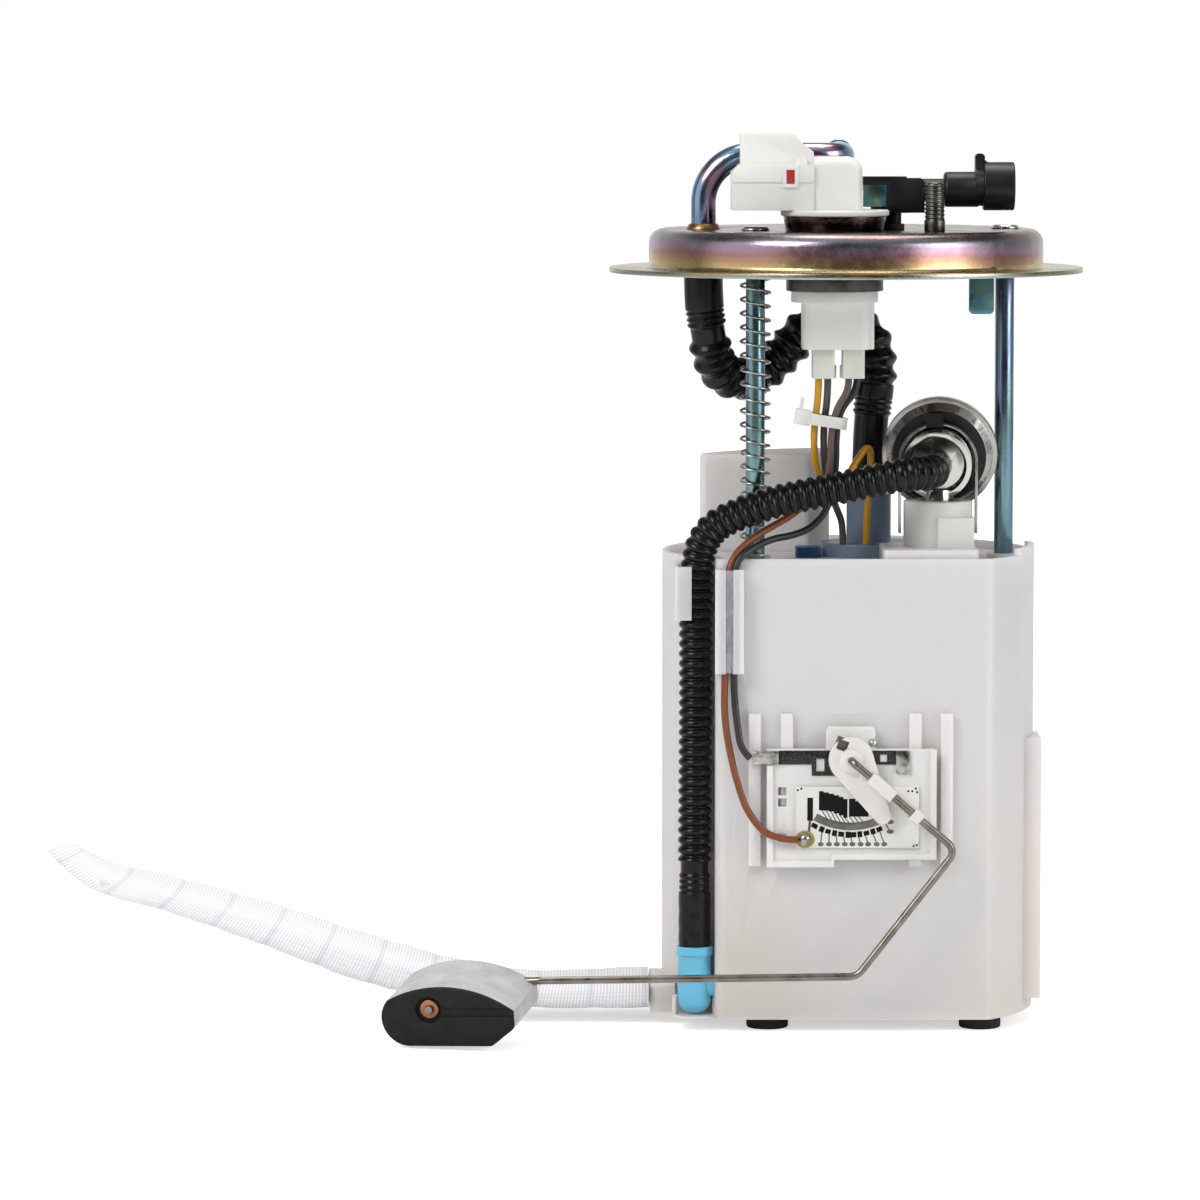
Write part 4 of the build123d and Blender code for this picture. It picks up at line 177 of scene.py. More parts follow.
def passivated_steel(name, stops, rough, scale, stretch=(1.0, 1.0, 1.0)):
    """Zinc plate with a chromate film: the film's thickness gives drifting interference colours."""
    material, tree, shader, place = new_material(name)
    spread = node(tree, "ShaderNodeMapping", {"Vector": place, "Scale": stretch})
    drift = node(tree, NOISE, {"Vector": spread, "Scale": scale, "Detail": 3.0, "Distortion": 1.2})
    cells = node(tree, NOISE, {"Vector": spread, "Scale": scale * 9, "Detail": 5.0})
    wide = node(tree, MATH, {0: drift, 1: 1.9, 2: -0.525}, operation="MULTIPLY_ADD")
    film = node(tree, MATH, {0: cells, 1: 0.15, 2: wide}, operation="MULTIPLY_ADD")
    fill(tree, shader, {"Base Color": node(tree, RAMP, {0: film}, stops), "Metallic": 1.0})
    add_roughness(tree, shader, place, rough - 0.05, rough + 0.1, 120.0)
    add_grain(tree, shader, place, 900.0, 3.0, 0.25, 0.05)
    return material


def bright_metal(name, colour, shade, rough, scale=220.0, depth=0.04):
    """Bare or plated metal: slight tone change from handling, fine drawn or pressed texture."""
    material, tree, shader, place = new_material(name)
    tone = mottle(tree, place, scale, 4.0, [(0.3, shade), (0.7, colour)])
    fill(tree, shader, {"Base Color": tone, "Metallic": 1.0})
    add_roughness(tree, shader, place, rough - 0.06, rough + 0.1, scale)
    add_grain(tree, shader, place, 1500.0, 2.0, 0.25, depth)
    return material


def rubber(name, colour, shade, rough=0.65, gloss=0.3):
    """Moulded nitrile rubber: near black, matt, with a dusty bloom and a fine pore texture."""
    material, tree, shader, place = new_material(name)
    bloom = mottle(tree, place, 110.0, 6.0, [(0.35, colour), (0.75, shade)])
    fill(tree, shader, {"Base Color": bloom, "Specular IOR Level": gloss})
    add_roughness(tree, shader, place, rough - 0.08, rough + 0.12, 300.0)
    pores = node(tree, "ShaderNodeTexVoronoi", {"Vector": place, "Scale": 1400.0})
    add_relief(tree, shader, pores, 0.4, 0.12)
    return material


def natural_acetal(name):
    """Natural acetal, milky and slightly translucent: cooler at the rim, warmer low down, softly clouded."""
    material, tree, shader, place = new_material(name)
    clouds = node(tree, NOISE, {"Vector": place, "Scale": 14.0, "Detail": 2.0})
    height = node(tree, SPLIT, {0: place}).outputs[2]
    warmth = node(tree, RANGE, {0: height, 1: -236 * MM, 2: -90 * MM, 3: 0.2, 4: -0.14})
    tone = node(tree, MATH, {0: clouds, 1: warmth}, operation="ADD")
    milk = node(tree, RAMP, {0: tone}, [(0.3, "#DCD8D9"), (0.55, "#E0DBDA"), (0.8, "#E2D7CD")])
    fill(tree, shader, {"Base Color": milk, "Subsurface Weight": 0.75, "Subsurface Scale": 7.0 * MM,
                        "Subsurface Radius": (1.0, 0.95, 0.9)})
    add_roughness(tree, shader, place, 0.42, 0.52, 90.0)
    add_grain(tree, shader, place, 1800.0, 2.0, 0.3, 0.08)
    return material


def nylon_mesh(name):
    """Woven nylon filter cloth, its threads drawn coarser than they are so that they show in a render,
    with the grey bars of the spacer showing through."""
    material, tree, shader, place = new_material(name)
    cloth = place.node.outputs["UV"]
    across, along = (node(tree, "ShaderNodeTexWave", {"Vector": cloth, "Scale": scale, "Distortion": 0.3},
                          wave_type="BANDS", bands_direction=axis).outputs[1]
                     for axis, scale in (("X", 300.0), ("Y", 330.0)))
    weft = node(tree, MATH, {0: along, 1: 0.25}, operation="MULTIPLY")
    weave = node(tree, MATH, {0: across, 1: 0.75, 2: weft}, operation="MULTIPLY_ADD")
    threads = node(tree, RAMP, {0: weave}, [(0.1, "#DADAE0"), (0.8, "#FAFAFC")])
    length = node(tree, SPLIT, {0: cloth})
    count = node(tree, MATH, {0: length, 1: BAR_PITCH * MM}, operation="DIVIDE")
    share = node(tree, MATH, {0: count}, operation="FRACT")
    bars = node(tree, RAMP, {0: share},
                [(0.0, "#FFFFFF"), (0.04, "#EEEEF2"), (0.09, "#EEEEF2"), (0.15, "#FFFFFF")])
    barred = node(tree, MIX, {0: 1.0, 6: threads, 7: bars}, data_type="RGBA", blend_type="MULTIPLY")
    fill(tree, shader, {"Base Color": barred.outputs[2], "Roughness": 0.7, "Sheen Weight": 0.2,
                        "Subsurface Weight": 0.3, "Subsurface Scale": 2.0 * MM})
    add_relief(tree, shader, weave, 0.6, 0.2)
    return material


def height_chromate(name, stops, low, high, rough, speckle):
    """Chromate film on a pressed part: its colour runs in bands with height, broken up by drift and pits.
    On the dome, some bands also hold painted highlight.
    """
    material, tree, shader, place = new_material(name)
    height = node(tree, SPLIT, {0: place}).outputs[2]
    level = node(tree, RANGE, {0: height, 1: low * MM, 2: high * MM, 3: 0.0, 4: 1.0})
    drift = node(tree, NOISE, {"Vector": place, "Scale": 26.0, "Detail": 2.0})
    pits = node(tree, NOISE, {"Vector": place, "Scale": 1100.0, "Detail": 3.0})
    centred = node(tree, MATH, {0: level, 1: -0.18 - speckle / 2}, operation="ADD")
    moved = node(tree, MATH, {0: drift, 1: 0.36, 2: centred}, operation="MULTIPLY_ADD")
    broken = node(tree, MATH, {0: pits, 1: speckle, 2: moved}, operation="MULTIPLY_ADD")
    fill(tree, shader, {"Base Color": node(tree, RAMP, {0: broken}, stops), "Metallic": 1.0})
    add_roughness(tree, shader, place, rough - 0.04, rough + 0.08, 260.0)
    add_relief(tree, shader, pits, 0.3, 0.05)
    return material


def rod_zinc(name):
    """Guide rod: blue-grey chromate on zinc in streaks along the rod, with a bare riveted head on top."""
    stops = [(0.15, "#4C6470"), (0.35, "#7693A4"), (0.5, "#84A8A4"), (0.65, "#6C7396"), (0.85, "#93B3B4")]
    material = passivated_steel(name, stops, 0.2, 40.0, (1.0, 1.0, 0.14))
    tree = material.node_tree
    shader = tree.nodes["Principled BSDF"]
    streaks = shader.inputs["Base Color"].links[0].from_socket
    height = node(tree, SPLIT, {0: tree.nodes["Texture Coordinate"].outputs["Object"]}).outputs[2]
    head = node(tree, MATH, {0: height, 1: 13.0 * MM}, operation="GREATER_THAN")
    mixed = node(tree, MIX, {0: head, 6: streaks, 7: linear("#C9C9C6")}, data_type="RGBA").outputs[2]
    fill(tree, shader, {"Base Color": mixed})
    return material


def brown_insulation(name):
    """Brown wire insulation, a greyer brown towards its top end near the plug."""
    material, tree, shader, place = new_material(name)
    height = node(tree, SPLIT, {0: place}).outputs[2]
    level = node(tree, RANGE, {0: height, 1: -74 * MM, 2: -60 * MM, 3: 0.0, 4: 1.0})
    fill(tree, shader, {"Base Color": node(tree, RAMP, {0: level}, [(0.0, "#7C4222"), (1.0, "#5B4C44")])})
    add_roughness(tree, shader, place, 0.34, 0.46, 160.0)
    return material


def speckled_strip(name):
    """Black resin strip with fine bright glass specks in it."""
    material, tree, shader, place = new_material(name)
    specks = mottle(tree, place, 2400.0, 1.0, [(0.58, "#0C0C0C"), (0.72, "#6A6A68")])
    fill(tree, shader, {"Base Color": specks})
    add_roughness(tree, shader, place, 0.3, 0.42, 200.0)
    return material


def clear_film(name):
    """Thin clear moulding: lets what lies behind show through with a cool tint."""
    material, tree, shader, place = new_material(name)
    haze = mottle(tree, place, 200.0, 2.0, [(0.3, "#BDBED0"), (0.7, "#E4E4EC")])
    fill(tree, shader, {"Base Color": haze, "Roughness": 0.3, "Alpha": 0.32})
    return material


# Stops of the chromate films: with height on the dome and collar, and with the film's drift on the others.
# On the dome, the pale rim stop and the light gold stops at 0.2 and 0.34 are chromate colour with painted
# highlight in it.
DOME_BANDS_WITH_HIGHLIGHT = [
    (0.0, "#A9B2AC"), (0.1, "#98947A"), (0.2, "#D2B882"), (0.34, "#BE9678"), (0.48, "#A87E7A"),
    (0.6, "#B08CA0"), (0.72, "#98909E"), (0.84, "#86868A"), (0.95, "#7E6A68"), (1.0, "#6F605E"),
]
TUBE_FILM = [
    (0.05, "#9A88AE"), (0.25, "#BC94A4"), (0.42, "#86A0C2"), (0.58, "#9CC4C6"), (0.75, "#B8A684"),
    (0.95, "#949CBE"),
]
COLLAR_BANDS = [(0.05, "#8C7A6A"), (0.2, "#3A2C2E"), (0.5, "#241E20"), (0.8, "#4A3A38"), (1.0, "#2B2626")]
STRIP_FILM = [(0.15, "#3F5C64"), (0.45, "#55828A"), (0.7, "#698A80"), (0.9, "#8E9070")]

# Bare, drawn and plated metals, the smoother the sharper in what they mirror: name, colour, shade, roughness,
# and where it is coarser or rougher than usual, the scale of its patches and the depth of its relief.
METALS = {
    "ring": ("phosphated_steel_ring", "#55534F", "#3A3937", 0.3),
    "stud": ("weld_stud_steel", "#6B6A66", "#454441", 0.3),
    "steel": ("drawn_stainless_steel", "#C6C4BF", "#9A9893", 0.26),
    "wire_steel": ("drawn_steel_wire", "#9B968D", "#79746C", 0.3),
    "can": ("pewter_grey_pressed_shell", "#BDBAB6", "#94918D", 0.2, 60.0),
    "nose": ("bright_drawn_nose", "#E2E0DC", "#C0BEB9", 0.16, 60.0),
    "brass": ("tinned_brass_contact", "#CFCBB6", "#8F8A78", 0.3),
    "braze": ("copper_braze_fillet", "#B08A5C", "#7F6344", 0.3),
    "copper": ("coppered_spring_steel", "#B98264", "#7E4A35", 0.32),
    "carrier": ("dull_contact_carrier", "#7C7A76", "#5E5C58", 0.5),
    "solder": ("lead_free_solder", "#D6D5D0", "#77756F", 0.24, 420.0, 0.12),
    "track": ("printed_silver_track", "#8C8A86", "#6F6D69", 0.5),
}

# Mouldings and coatings: name, colour, shade, roughness, depth of grain, light let in, and gloss.
PLASTICS = {
    # Pale mouldings: soft gloss, with light that goes a little way in.
    "white": ("white_moulded_acetal", "#E4E3DF", "#DAD9D6", 0.4, 0.08, 0.15),
    "frame_white": ("clear_white_acetal", "#E7E5E3", "#DCDAD8", 0.42, 0.06, 0.25),
    "arm_white": ("white_arm_acetal", "#E6E3E0", "#DAD6D3", 0.38, 0.06, 0.2),
    "plug": ("milky_plug_nylon", "#D9DAD0", "#CCCDC2", 0.36, 0.06, 0.3),
    "elbow": ("light_blue_moulded_nylon", "#74C6E6", "#5DB6DE", 0.34, 0.06, 0.3),
    "tie": ("white_nylon_tie", "#E2E2DE", "#D2D2CD", 0.4, 0.05, 0.2),
    # Coloured and black mouldings: opaque, and the black ones with a duller gloss.
    "black": ("black_glass_filled_nylon", "#0B0B0C", "#151516", 0.36, 0.12, 0.0, 0.35),
    "red": ("red_moulded_lock", "#B5281F", "#8E1D1B", 0.35),
    "blue": ("deep_blue_moulded_clip", "#0F4A78", "#0B3558", 0.35),
    "cap": ("blue_grey_moulded_nylon", "#76869C", "#606E85", 0.42, 0.1),
    "hose": ("corrugated_nylon_tube", "#040405", "#0B0B0C", 0.24, 0.04, 0.0, 0.3),
    # Wire insulation: smooth and slightly waxy.
    "yellow_wire": ("yellow_wire_insulation", "#D9A21C", "#BC8612", 0.38, 0.05),
    "grey_wire": ("grey_wire_insulation", "#5A5550", "#443F3A", 0.42, 0.05),
    "black_wire": ("black_wire_insulation", "#2A2B28", "#1B1C1A", 0.4, 0.05),
    # Matt ceramic card, dull black ink, fired leads, amber flux, and filter paper.
    "ceramic": ("alumina_ceramic_card", "#E9E7E2", "#DFDDD8", 0.5, 0.04),
    "resistor": ("printed_resistor_ink", "#040404", "#0C0C0C", 0.5, 0.04, 0.0, 0.2),
    "lead": ("printed_fired_lead", "#5E5D59", "#4A4946", 0.5, 0.04),
    "flux": ("amber_flux_ring", "#C8B26A", "#A88F48", 0.25, 0.04),
    "paper": ("resin_paper", "#D8C79A", "#C7B486", 0.8, 0.2),
}

# Rubber and foam, matt with a dusty bloom: name, colour, shade, roughness and gloss.
RUBBERS = {
    "rubber": ("moulded_nitrile_rubber", "#121212", "#262626"),
    "float_face": ("moulded_float_face", "#0E0E0D", "#1B1B1A", 0.6),
    # The float's top and sides: a light grey that is painted sheen on the black foam.
    "float_sheen": ("float_foam_painted_sheen", "#B0B0AF", "#D0D0CF", 0.42, 0.5),
}


def make_materials():
    return {
        "flange": height_chromate("yellow_chromate_zinc_plate", DOME_BANDS_WITH_HIGHLIGHT, 0.0, 13.8, 0.24, 0.12),
        "collar": height_chromate("dark_bronze_chromate", COLLAR_BANDS, 13.0, 19.0, 0.16, 0.1),
        "pipe": passivated_steel("iridescent_chromate_tube", TUBE_FILM, 0.16, 26.0, (1.0, 1.0, 0.5)),
        "tab": passivated_steel("blue_chromate_strip", STRIP_FILM, 0.3, 60.0),
        "rod": rod_zinc("blue_chromate_drawn_rod"),
        "natural": natural_acetal("natural_milky_acetal"),
        "brown_wire": brown_insulation("brown_wire_insulation"),
        "strip": speckled_strip("speckled_resin_strip"),
        "film": clear_film("clear_channel_wall"),
        "mesh": nylon_mesh("woven_nylon_filter_cloth"),
        **{key: bright_metal(*row) for key, row in METALS.items()},
        **{key: moulded_plastic(*row) for key, row in PLASTICS.items()},
        **{key: rubber(*row) for key, row in RUBBERS.items()},
    }


MATERIALS = {}

NODE_FINISH = {
    "flange_plate": "flange", "connector_collar": "collar", "connector_seat": "white",
    "connector_housing": "white", "connector_lock": "red", "connector_terminals": "brass",
    "lower_retaining_ring": "ring", "lower_connector": "white", "harness_plugs": "plug",
    "outlet_pipe": "pipe", "pipe_braze_ring": "braze", "ground_stud": "stud",
    "pressure_sensor": "black", "sensor_bracket": "tab", "sensor_seal": "rubber",
    "rod_left": "rod", "rod_right": "rod", "rod_clips": "steel", "hanging_tab": "tab", "cable_tie": "tie",
    "reservoir": "natural", "reservoir_cover": "natural", "filter_housing": "natural",
    "filter_element": "paper", "pump_cap": "cap", "cap_clip": "blue", "fuel_pump": "steel",
    "pump_isolator": "rubber", "regulator_can": "can", "regulator_cup": "white",
    "regulator_o_ring": "rubber", "regulator_clip": "steel", "jet_elbow": "elbow",
    "jet_nozzle": "white", "rubber_feet": "rubber", "check_valve": "rubber",
    "strainer_neck": "white", "strainer_skeleton": "white", "sender_frame": "frame_white",
    "resistor_card": "ceramic", "contact_strip": "strip", "sender_terminals": "solder",
    "wiper_arm": "arm_white", "wiper_contacts": "brass", "float_wire": "wire_steel",
    "float": "float_face", "float_push_nut": "copper",
}

# The regulator's middle, the float's pin, and the ways that the nose and the black front face of the float
# point.
REGULATOR = Vector((30.2, -6.0, -58.1))
FLOAT_PIN = Vector((-125.7, -51.3, -223.3))
NOSE_WAY, FLOAT_WAY = (
    Matrix.Rotation(radians(dip), 3, "X") @ Matrix.Rotation(radians(yaw), 3, "Z") @ Vector((0, -1, 0))
    for dip, yaw in ((11, -6), (9.6, -14.4)))

# How far ahead of those points and out from the axis each finish starts and ends.
NOSE_FOOT, NOSE_EDGE = 4.6, 11.6
RECESS_FOOT, RECESS_TOP, RECESS_EDGE = 3.0, 4.7, 15.2
SHEEN_LIMIT = 25.9


def from_axis(centre):
    """How far a point lies ahead of the regulator's middle, and how far out from its axis."""
    out = centre - REGULATOR
    ahead = out.dot(NOSE_WAY)
    return ahead, (out - NOSE_WAY * ahead).length


def on_nose(centre, normal):
    """Whether a face of the regulator lies on its drawn nose."""
    ahead, out = from_axis(centre)
    return ahead > NOSE_FOOT and out < NOSE_EDGE


def in_shaded_recess(centre, normal):
    """Whether a face of the regulator lies on the ring round the foot of its nose, the recess that is painted
    black as its shade.
    """
    ahead, out = from_axis(centre)
    return RECESS_FOOT < ahead < RECESS_TOP and out < RECESS_EDGE and normal.dot(NOSE_WAY) > 0.9


def on_sheen_sides(centre, normal):
    """Whether a face of the float lies behind its front face and the slot in it: its top and sides, painted
    light grey as sheen.
    """
    return (centre - FLOAT_PIN).dot(FLOAT_WAY) < SHEEN_LIMIT


# Faces that have another finish than the rest of their solid.
SECOND_FINISH = {
    # The recess round the regulator's nose: black, painted shade.
    "regulator_can": [("nose", on_nose), ("black", in_shaded_recess)],
    # The float's top and sides: light grey, painted sheen.
    "float": [("float_sheen", on_sheen_sides)],
}

# Edge rounding in millimetres for pieces that are larger or finer than the usual.
NODE_EDGE = {
    "reservoir": 0.5, "flange_plate": 0.3, "filter_housing": 0.5, "reservoir_cover": 0.4, "pump_cap": 0.4,
    "contact_strip": 0.08, "resistor_card": 0.1, "sender_terminals": 0.12, "wiper_contacts": 0.05,
    "connector_terminals": 0.08, "sensor_bracket": 0.15, "hanging_tab": 0.2, "rod_clips": 0.15,
    "regulator_clip": 0.15, "float_wire": 0.0, "float": 0.6, "strainer_skeleton": 0.1,
    "regulator_o_ring": 0.0, "outlet_pipe": 0.2, "check_valve": 0.15, "jet_nozzle": 0.15,
    "connector_lock": 0.15, "cable_tie": 0.2, "rubber_feet": 0.5,
}


# ---------------- mesh tools
# Angles in degrees: faces that meet at less than FLAT are merged, edges over ROUND are rounded, and those over
# SHARP stay sharp. Corners closer than TOUCH millimetres are one.
FLAT, ROUND, SHARP = 1.0, 35.0, 32.0
TOUCH = 0.002


def link(name, data):
    """Puts a new object with its data in the scene."""
    obj = bpy.data.objects.new(name, data)
    bpy.context.scene.collection.objects.link(obj)
    return obj


def mesh_object(name, bm, material):
    mesh = bpy.data.meshes.new(name)
    bm.to_mesh(mesh)
    bm.free()
    mesh.materials.append(MATERIALS[material])
    return link(name, mesh)


def evaluated_mesh(obj):
    """The object's mesh with what its modifiers do to it."""
    graph = bpy.context.evaluated_depsgraph_get()
    mesh = bpy.data.meshes.new_from_object(obj.evaluated_get(graph), depsgraph=graph)
    mesh.name = obj.name
    return mesh


def smooth(obj, angle=SHARP):
    """Smooth shading with sharp edges kept where faces meet at more than the angle."""
    bm = bmesh.new()
    bm.from_mesh(obj.data)
    for face in bm.faces:
        face.smooth = True
    for edge in bm.edges:
        if len(edge.link_faces) == 2:
            edge.smooth = edge.calc_face_angle(0.0) < radians(angle)
    bm.to_mesh(obj.data)
    bm.free()


def round_edges(obj, width):
    if width <= 0:
        return
    bevel = obj.modifiers.new("edge", "BEVEL")
    bevel.width = width * MM
    bevel.segments = 2
    bevel.limit_method = "ANGLE"
    bevel.angle_limit = radians(ROUND)
    bevel.use_clamp_overlap = True
    bevel.harden_normals = False
    bevel.miter_outer = "MITER_ARC"
    mesh = evaluated_mesh(obj)
    obj.modifiers.clear()
    obj.data = mesh


def dressed_copy(name):
    """Copy of a solid with its triangles merged into clean faces, to round and finish."""
    bm = bmesh.new()
    bm.from_mesh(frame["nodes"][name].data)
    bmesh.ops.remove_doubles(bm, verts=bm.verts, dist=TOUCH * MM)
    bmesh.ops.dissolve_limit(bm, angle_limit=radians(FLAT), verts=bm.verts, edges=bm.edges)
    return mesh_object(f"{name}_dressed", bm, NODE_FINISH[name])


def paint_faces(obj, material, test):
    """Gives a second material to the faces whose centre and normal, in millimetres, pass the test."""
    obj.data.materials.append(MATERIALS[material])
    for face in obj.data.polygons:
        if test(face.center / MM, face.normal):
            face.material_index = len(obj.data.materials) - 1


def body_of(name):
    return next(body for body, nodes in frame["record"]["behaviour"]["bodies"].items() if name in nodes)


def slot_of(name):
    return next(s["material_slot"] for s in frame["record"]["subparts"] if s["node"] == name)


def settle(obj, body, slot, *nodes):
    """The piece moves with its body and stands for the nodes that it replaces. Its slot is not used."""
    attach(obj, body)
    if nodes:
        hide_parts(*nodes)
    return obj


def rectangle(left, low, right, top):
    return [(left, low), (right, low), (right, top), (left, top)]


def prism_into(bm, outline, depth, matrix):
    """Adds a prism: the outline in the matrix's XY plane, in millimetres, raised along its Z."""
    low = [bm.verts.new((matrix @ Vector((x, y, 0))) * MM) for x, y in outline]
    high = [bm.verts.new((matrix @ Vector((x, y, depth))) * MM) for x, y in outline]
    bm.faces.new(list(reversed(low)))
    bm.faces.new(high)
    for i in range(len(outline)):
        j = (i + 1) % len(outline)
        bm.faces.new((low[i], low[j], high[j], high[i]))


# ---------------- geometry node tools
FLOAT, INT, MATERIAL = "NodeSocketFloat", "NodeSocketInt", "NodeSocketMaterial"
ZONE_PARTS = ("Start", "End", "Base", "Pitch", "Height")


def new_tree(name, sockets):
    tree = bpy.data.node_groups.new(name, "GeometryNodeTree")
    tree.interface.new_socket("Geometry", in_out="OUTPUT", socket_type="NodeSocketGeometry")
    tree.interface.new_socket("Geometry", in_out="INPUT", socket_type="NodeSocketGeometry")
    for label, kind in sockets:
        tree.interface.new_socket(label, in_out="INPUT", socket_type=kind)
    start = tree.nodes.new("NodeGroupInput")
    end = tree.nodes.new("NodeGroupOutput")
    return tree, start, end


def close_tree(tree, geometry, material, end):
    painted = node(tree, "GeometryNodeSetMaterial", {"Geometry": geometry, "Material": material})
    real = node(tree, "GeometryNodeRealizeInstances", {0: painted})
    fill(tree, end, {0: node(tree, "GeometryNodeSetShadeSmooth", {0: real})})


def corrugation_tree(zones):
    """Tube along a curve with rounded ribs in each zone between two lengths."""
    sockets = [("Radius", FLOAT), ("Around", INT), ("Step", FLOAT), ("Sharp", FLOAT), ("Material", MATERIAL)]
    sockets += [(f"Zone {i + 1} {part}", FLOAT) for i in range(zones) for part in ZONE_PARTS]
    tree, start, end = new_tree("corrugated tube", sockets)
    inputs = start.outputs
    path = node(tree, "GeometryNodeResampleCurve", {"Curve": inputs["Geometry"], "Length": inputs["Step"]},
                mode="LENGTH")
    along = node(tree, "GeometryNodeSplineParameter").outputs["Length"]
    radius = inputs["Radius"]
    for i in range(zones):
        low, high, base, pitch, height = (inputs[f"Zone {i + 1} {part}"] for part in ZONE_PARTS)
        begun = node(tree, MATH, {0: along, 1: low}, operation="GREATER_THAN")
        unended = node(tree, MATH, {0: along, 1: high}, operation="LESS_THAN")
        inside = node(tree, MATH, {0: begun, 1: unended}, operation="MULTIPLY")
        value = along
        for operation, *others in (("SUBTRACT", low), ("DIVIDE", pitch), ("MULTIPLY", pi), ("SINE",),
                                   ("ABSOLUTE",), ("POWER", inputs["Sharp"]), ("MULTIPLY_ADD", height, base),
                                   ("MULTIPLY_ADD", inside, radius)):
            value = node(tree, MATH, dict(enumerate((value, *others))), operation=operation)
        radius = value
    ring = node(tree, "GeometryNodeCurvePrimitiveCircle", {"Resolution": inputs["Around"], "Radius": 1.0})
    tube = node(tree, "GeometryNodeCurveToMesh", {"Curve": path, "Profile Curve": ring, "Scale": radius,
                                                  "Fill Caps": True})
    close_tree(tree, tube, inputs["Material"], end)
    return tree


def coil_tree():
    """Closed coil of round wire about Z."""
    tree, start, end = new_tree("wire coil", [("Turns", FLOAT), ("Radius", FLOAT), ("Height", FLOAT),
                                              ("Wire", FLOAT), ("Steps", INT), ("Material", MATERIAL)])
    inputs = start.outputs
    coil = node(tree, "GeometryNodeCurveSpiral", {
        "Resolution": inputs["Steps"], "Rotations": inputs["Turns"], "Start Radius": inputs["Radius"],
        "End Radius": inputs["Radius"], "Height": inputs["Height"]})
    ring = node(tree, "GeometryNodeCurvePrimitiveCircle", {"Resolution": 10, "Radius": inputs["Wire"]})
    wire = node(tree, "GeometryNodeCurveToMesh", {"Curve": coil, "Profile Curve": ring, "Fill Caps": True})
    close_tree(tree, wire, inputs["Material"], end)
    return tree


def route_curve(name, route):
    """Smooth curve through a cord's route: a NURBS spline with the points as its control points."""
    data = bpy.data.curves.new(name, "CURVE")
    data.dimensions = "3D"
    data.resolution_u = 24
    spline = data.splines.new("NURBS")
    spline.points.add(len(route) - 1)
    for point, place in zip(spline.points, route):
        point.co = (*mm(*place), 1.0)
    spline.order_u = 3
    spline.use_endpoint_u = True
    return link(name, data)


def built(obj, tree, values):
    """Runs a tree on the object, with inputs set by identifier, and returns the result as a plain mesh."""
    modifier = obj.modifiers.new("build", "NODES")
    modifier.node_group = tree
    for item in tree.interface.items_tree:
        if item.item_type == "SOCKET" and item.in_out == "INPUT" and item.name in values:
            modifier[item.identifier] = values[item.name]
    mesh = evaluated_mesh(obj)
    name = obj.name
    if not mesh.vertices:
        raise RuntimeError(f"{name}: the node tree made nothing")
    obj.modifiers.remove(modifier)
    bpy.data.objects.remove(obj)
    return link(name, mesh)


def wire_coil(name, foot, values):
    """Coil about an upright axis from its foot up, as a plain mesh."""
    coil = built(link(name, bpy.data.meshes.new(name)), coil_tree(), values)
    coil.data.transform(Matrix.Translation(foot))
    return coil


# ---------------- routes, in millimetres
FEED_ROUTE = [
    (-45.9, -8.0, 1.0), (-45.9, -8.0, -8.2), (-44.7, -7.1, -17.4), (-42.4, -2.9, -29.9), (-36.3, 5.2, -35.6),
    (-26.9, 11.7, -33.8), (-18.4, 12.5, -25.9), (-14.3, 12.3, -20.1), (-6.2, 11.3, -15.6), (3.0, 10.1, -16.6),
    (9.4, 8.9, -22.9), (10.6, 7.6, -32.6), (8.0, 8.0, -52.3), (8.0, 8.0, -72.0),
]
RETURN_ROUTE = [
    (28.6, -21.4, -61.2), (27.6, -30.1, -62.9), (19.1, -37.8, -62.7), (10.1, -40.0, -64.1),
    (-3.9, -40.8, -67.0), (-21.8, -41.3, -70.6), (-33.5, -39.7, -74.4), (-44.3, -37.5, -79.7),
    (-48.6, -34.8, -90.0),
    (-48.6, -34.0, -111.7), (-48.6, -34.1, -144.1), (-48.9, -34.0, -179.3), (-48.9, -34.0, -213.7),
]
PLUG_LOW = -32.8
YELLOW_ROUTE = [
    (-9.6, -28.0, PLUG_LOW), (-9.6, -28.0, -38.0), (-10.9, -29.1, -47.3), (-11.1, -27.9, -55.2),
    (-10.0, -25.2, -62.7), (-6.5, -20.5, -68.1), (-0.7, -15.0, -66.6), (2.9, -11.6, -60.6),
    (7.6, -7.5, -54.6), (8.2, -5.8, -63.1), (6.8, -4.4, -76.1), (6.8, -4.4, -87.6),
]
POWER_ROUTE = [
    (-6.7, -28.0, PLUG_LOW), (-6.7, -28.0, -39.0), (-8.0, -26.9, -48.2), (-7.7, -24.9, -59.9),
    (-5.8, -18.4, -69.4), (-2.9, -10.5, -76.1), (-0.8, -4.0, -81.0), (-0.8, -4.0, -87.6),
]
BROWN_ROUTE = [
    (-0.1, -30.0, PLUG_LOW), (-0.1, -30.0, -36.8), (-3.6, -30.5, -41.6), (-5.7, -31.0, -49.2),
    (-5.8, -31.0, -58.3), (-6.9, -31.0, -66.9), (-16.3, -33.0, -74.8), (-22.2, -35.0, -78.4),
    (-29.7, -37.6, -82.2), (-38.0, -42.7, -89.1), (-39.3, -43.9, -101.9), (-39.4, -43.8, -124.6),
    (-39.8, -44.2, -139.9), (-37.0, -45.9, -154.8), (-34.7, -47.1, -162.8), (-32.2, -47.6, -169.5),
    (-25.4, -48.0, -177.8), (-16.5, -47.6, -178.0),
]
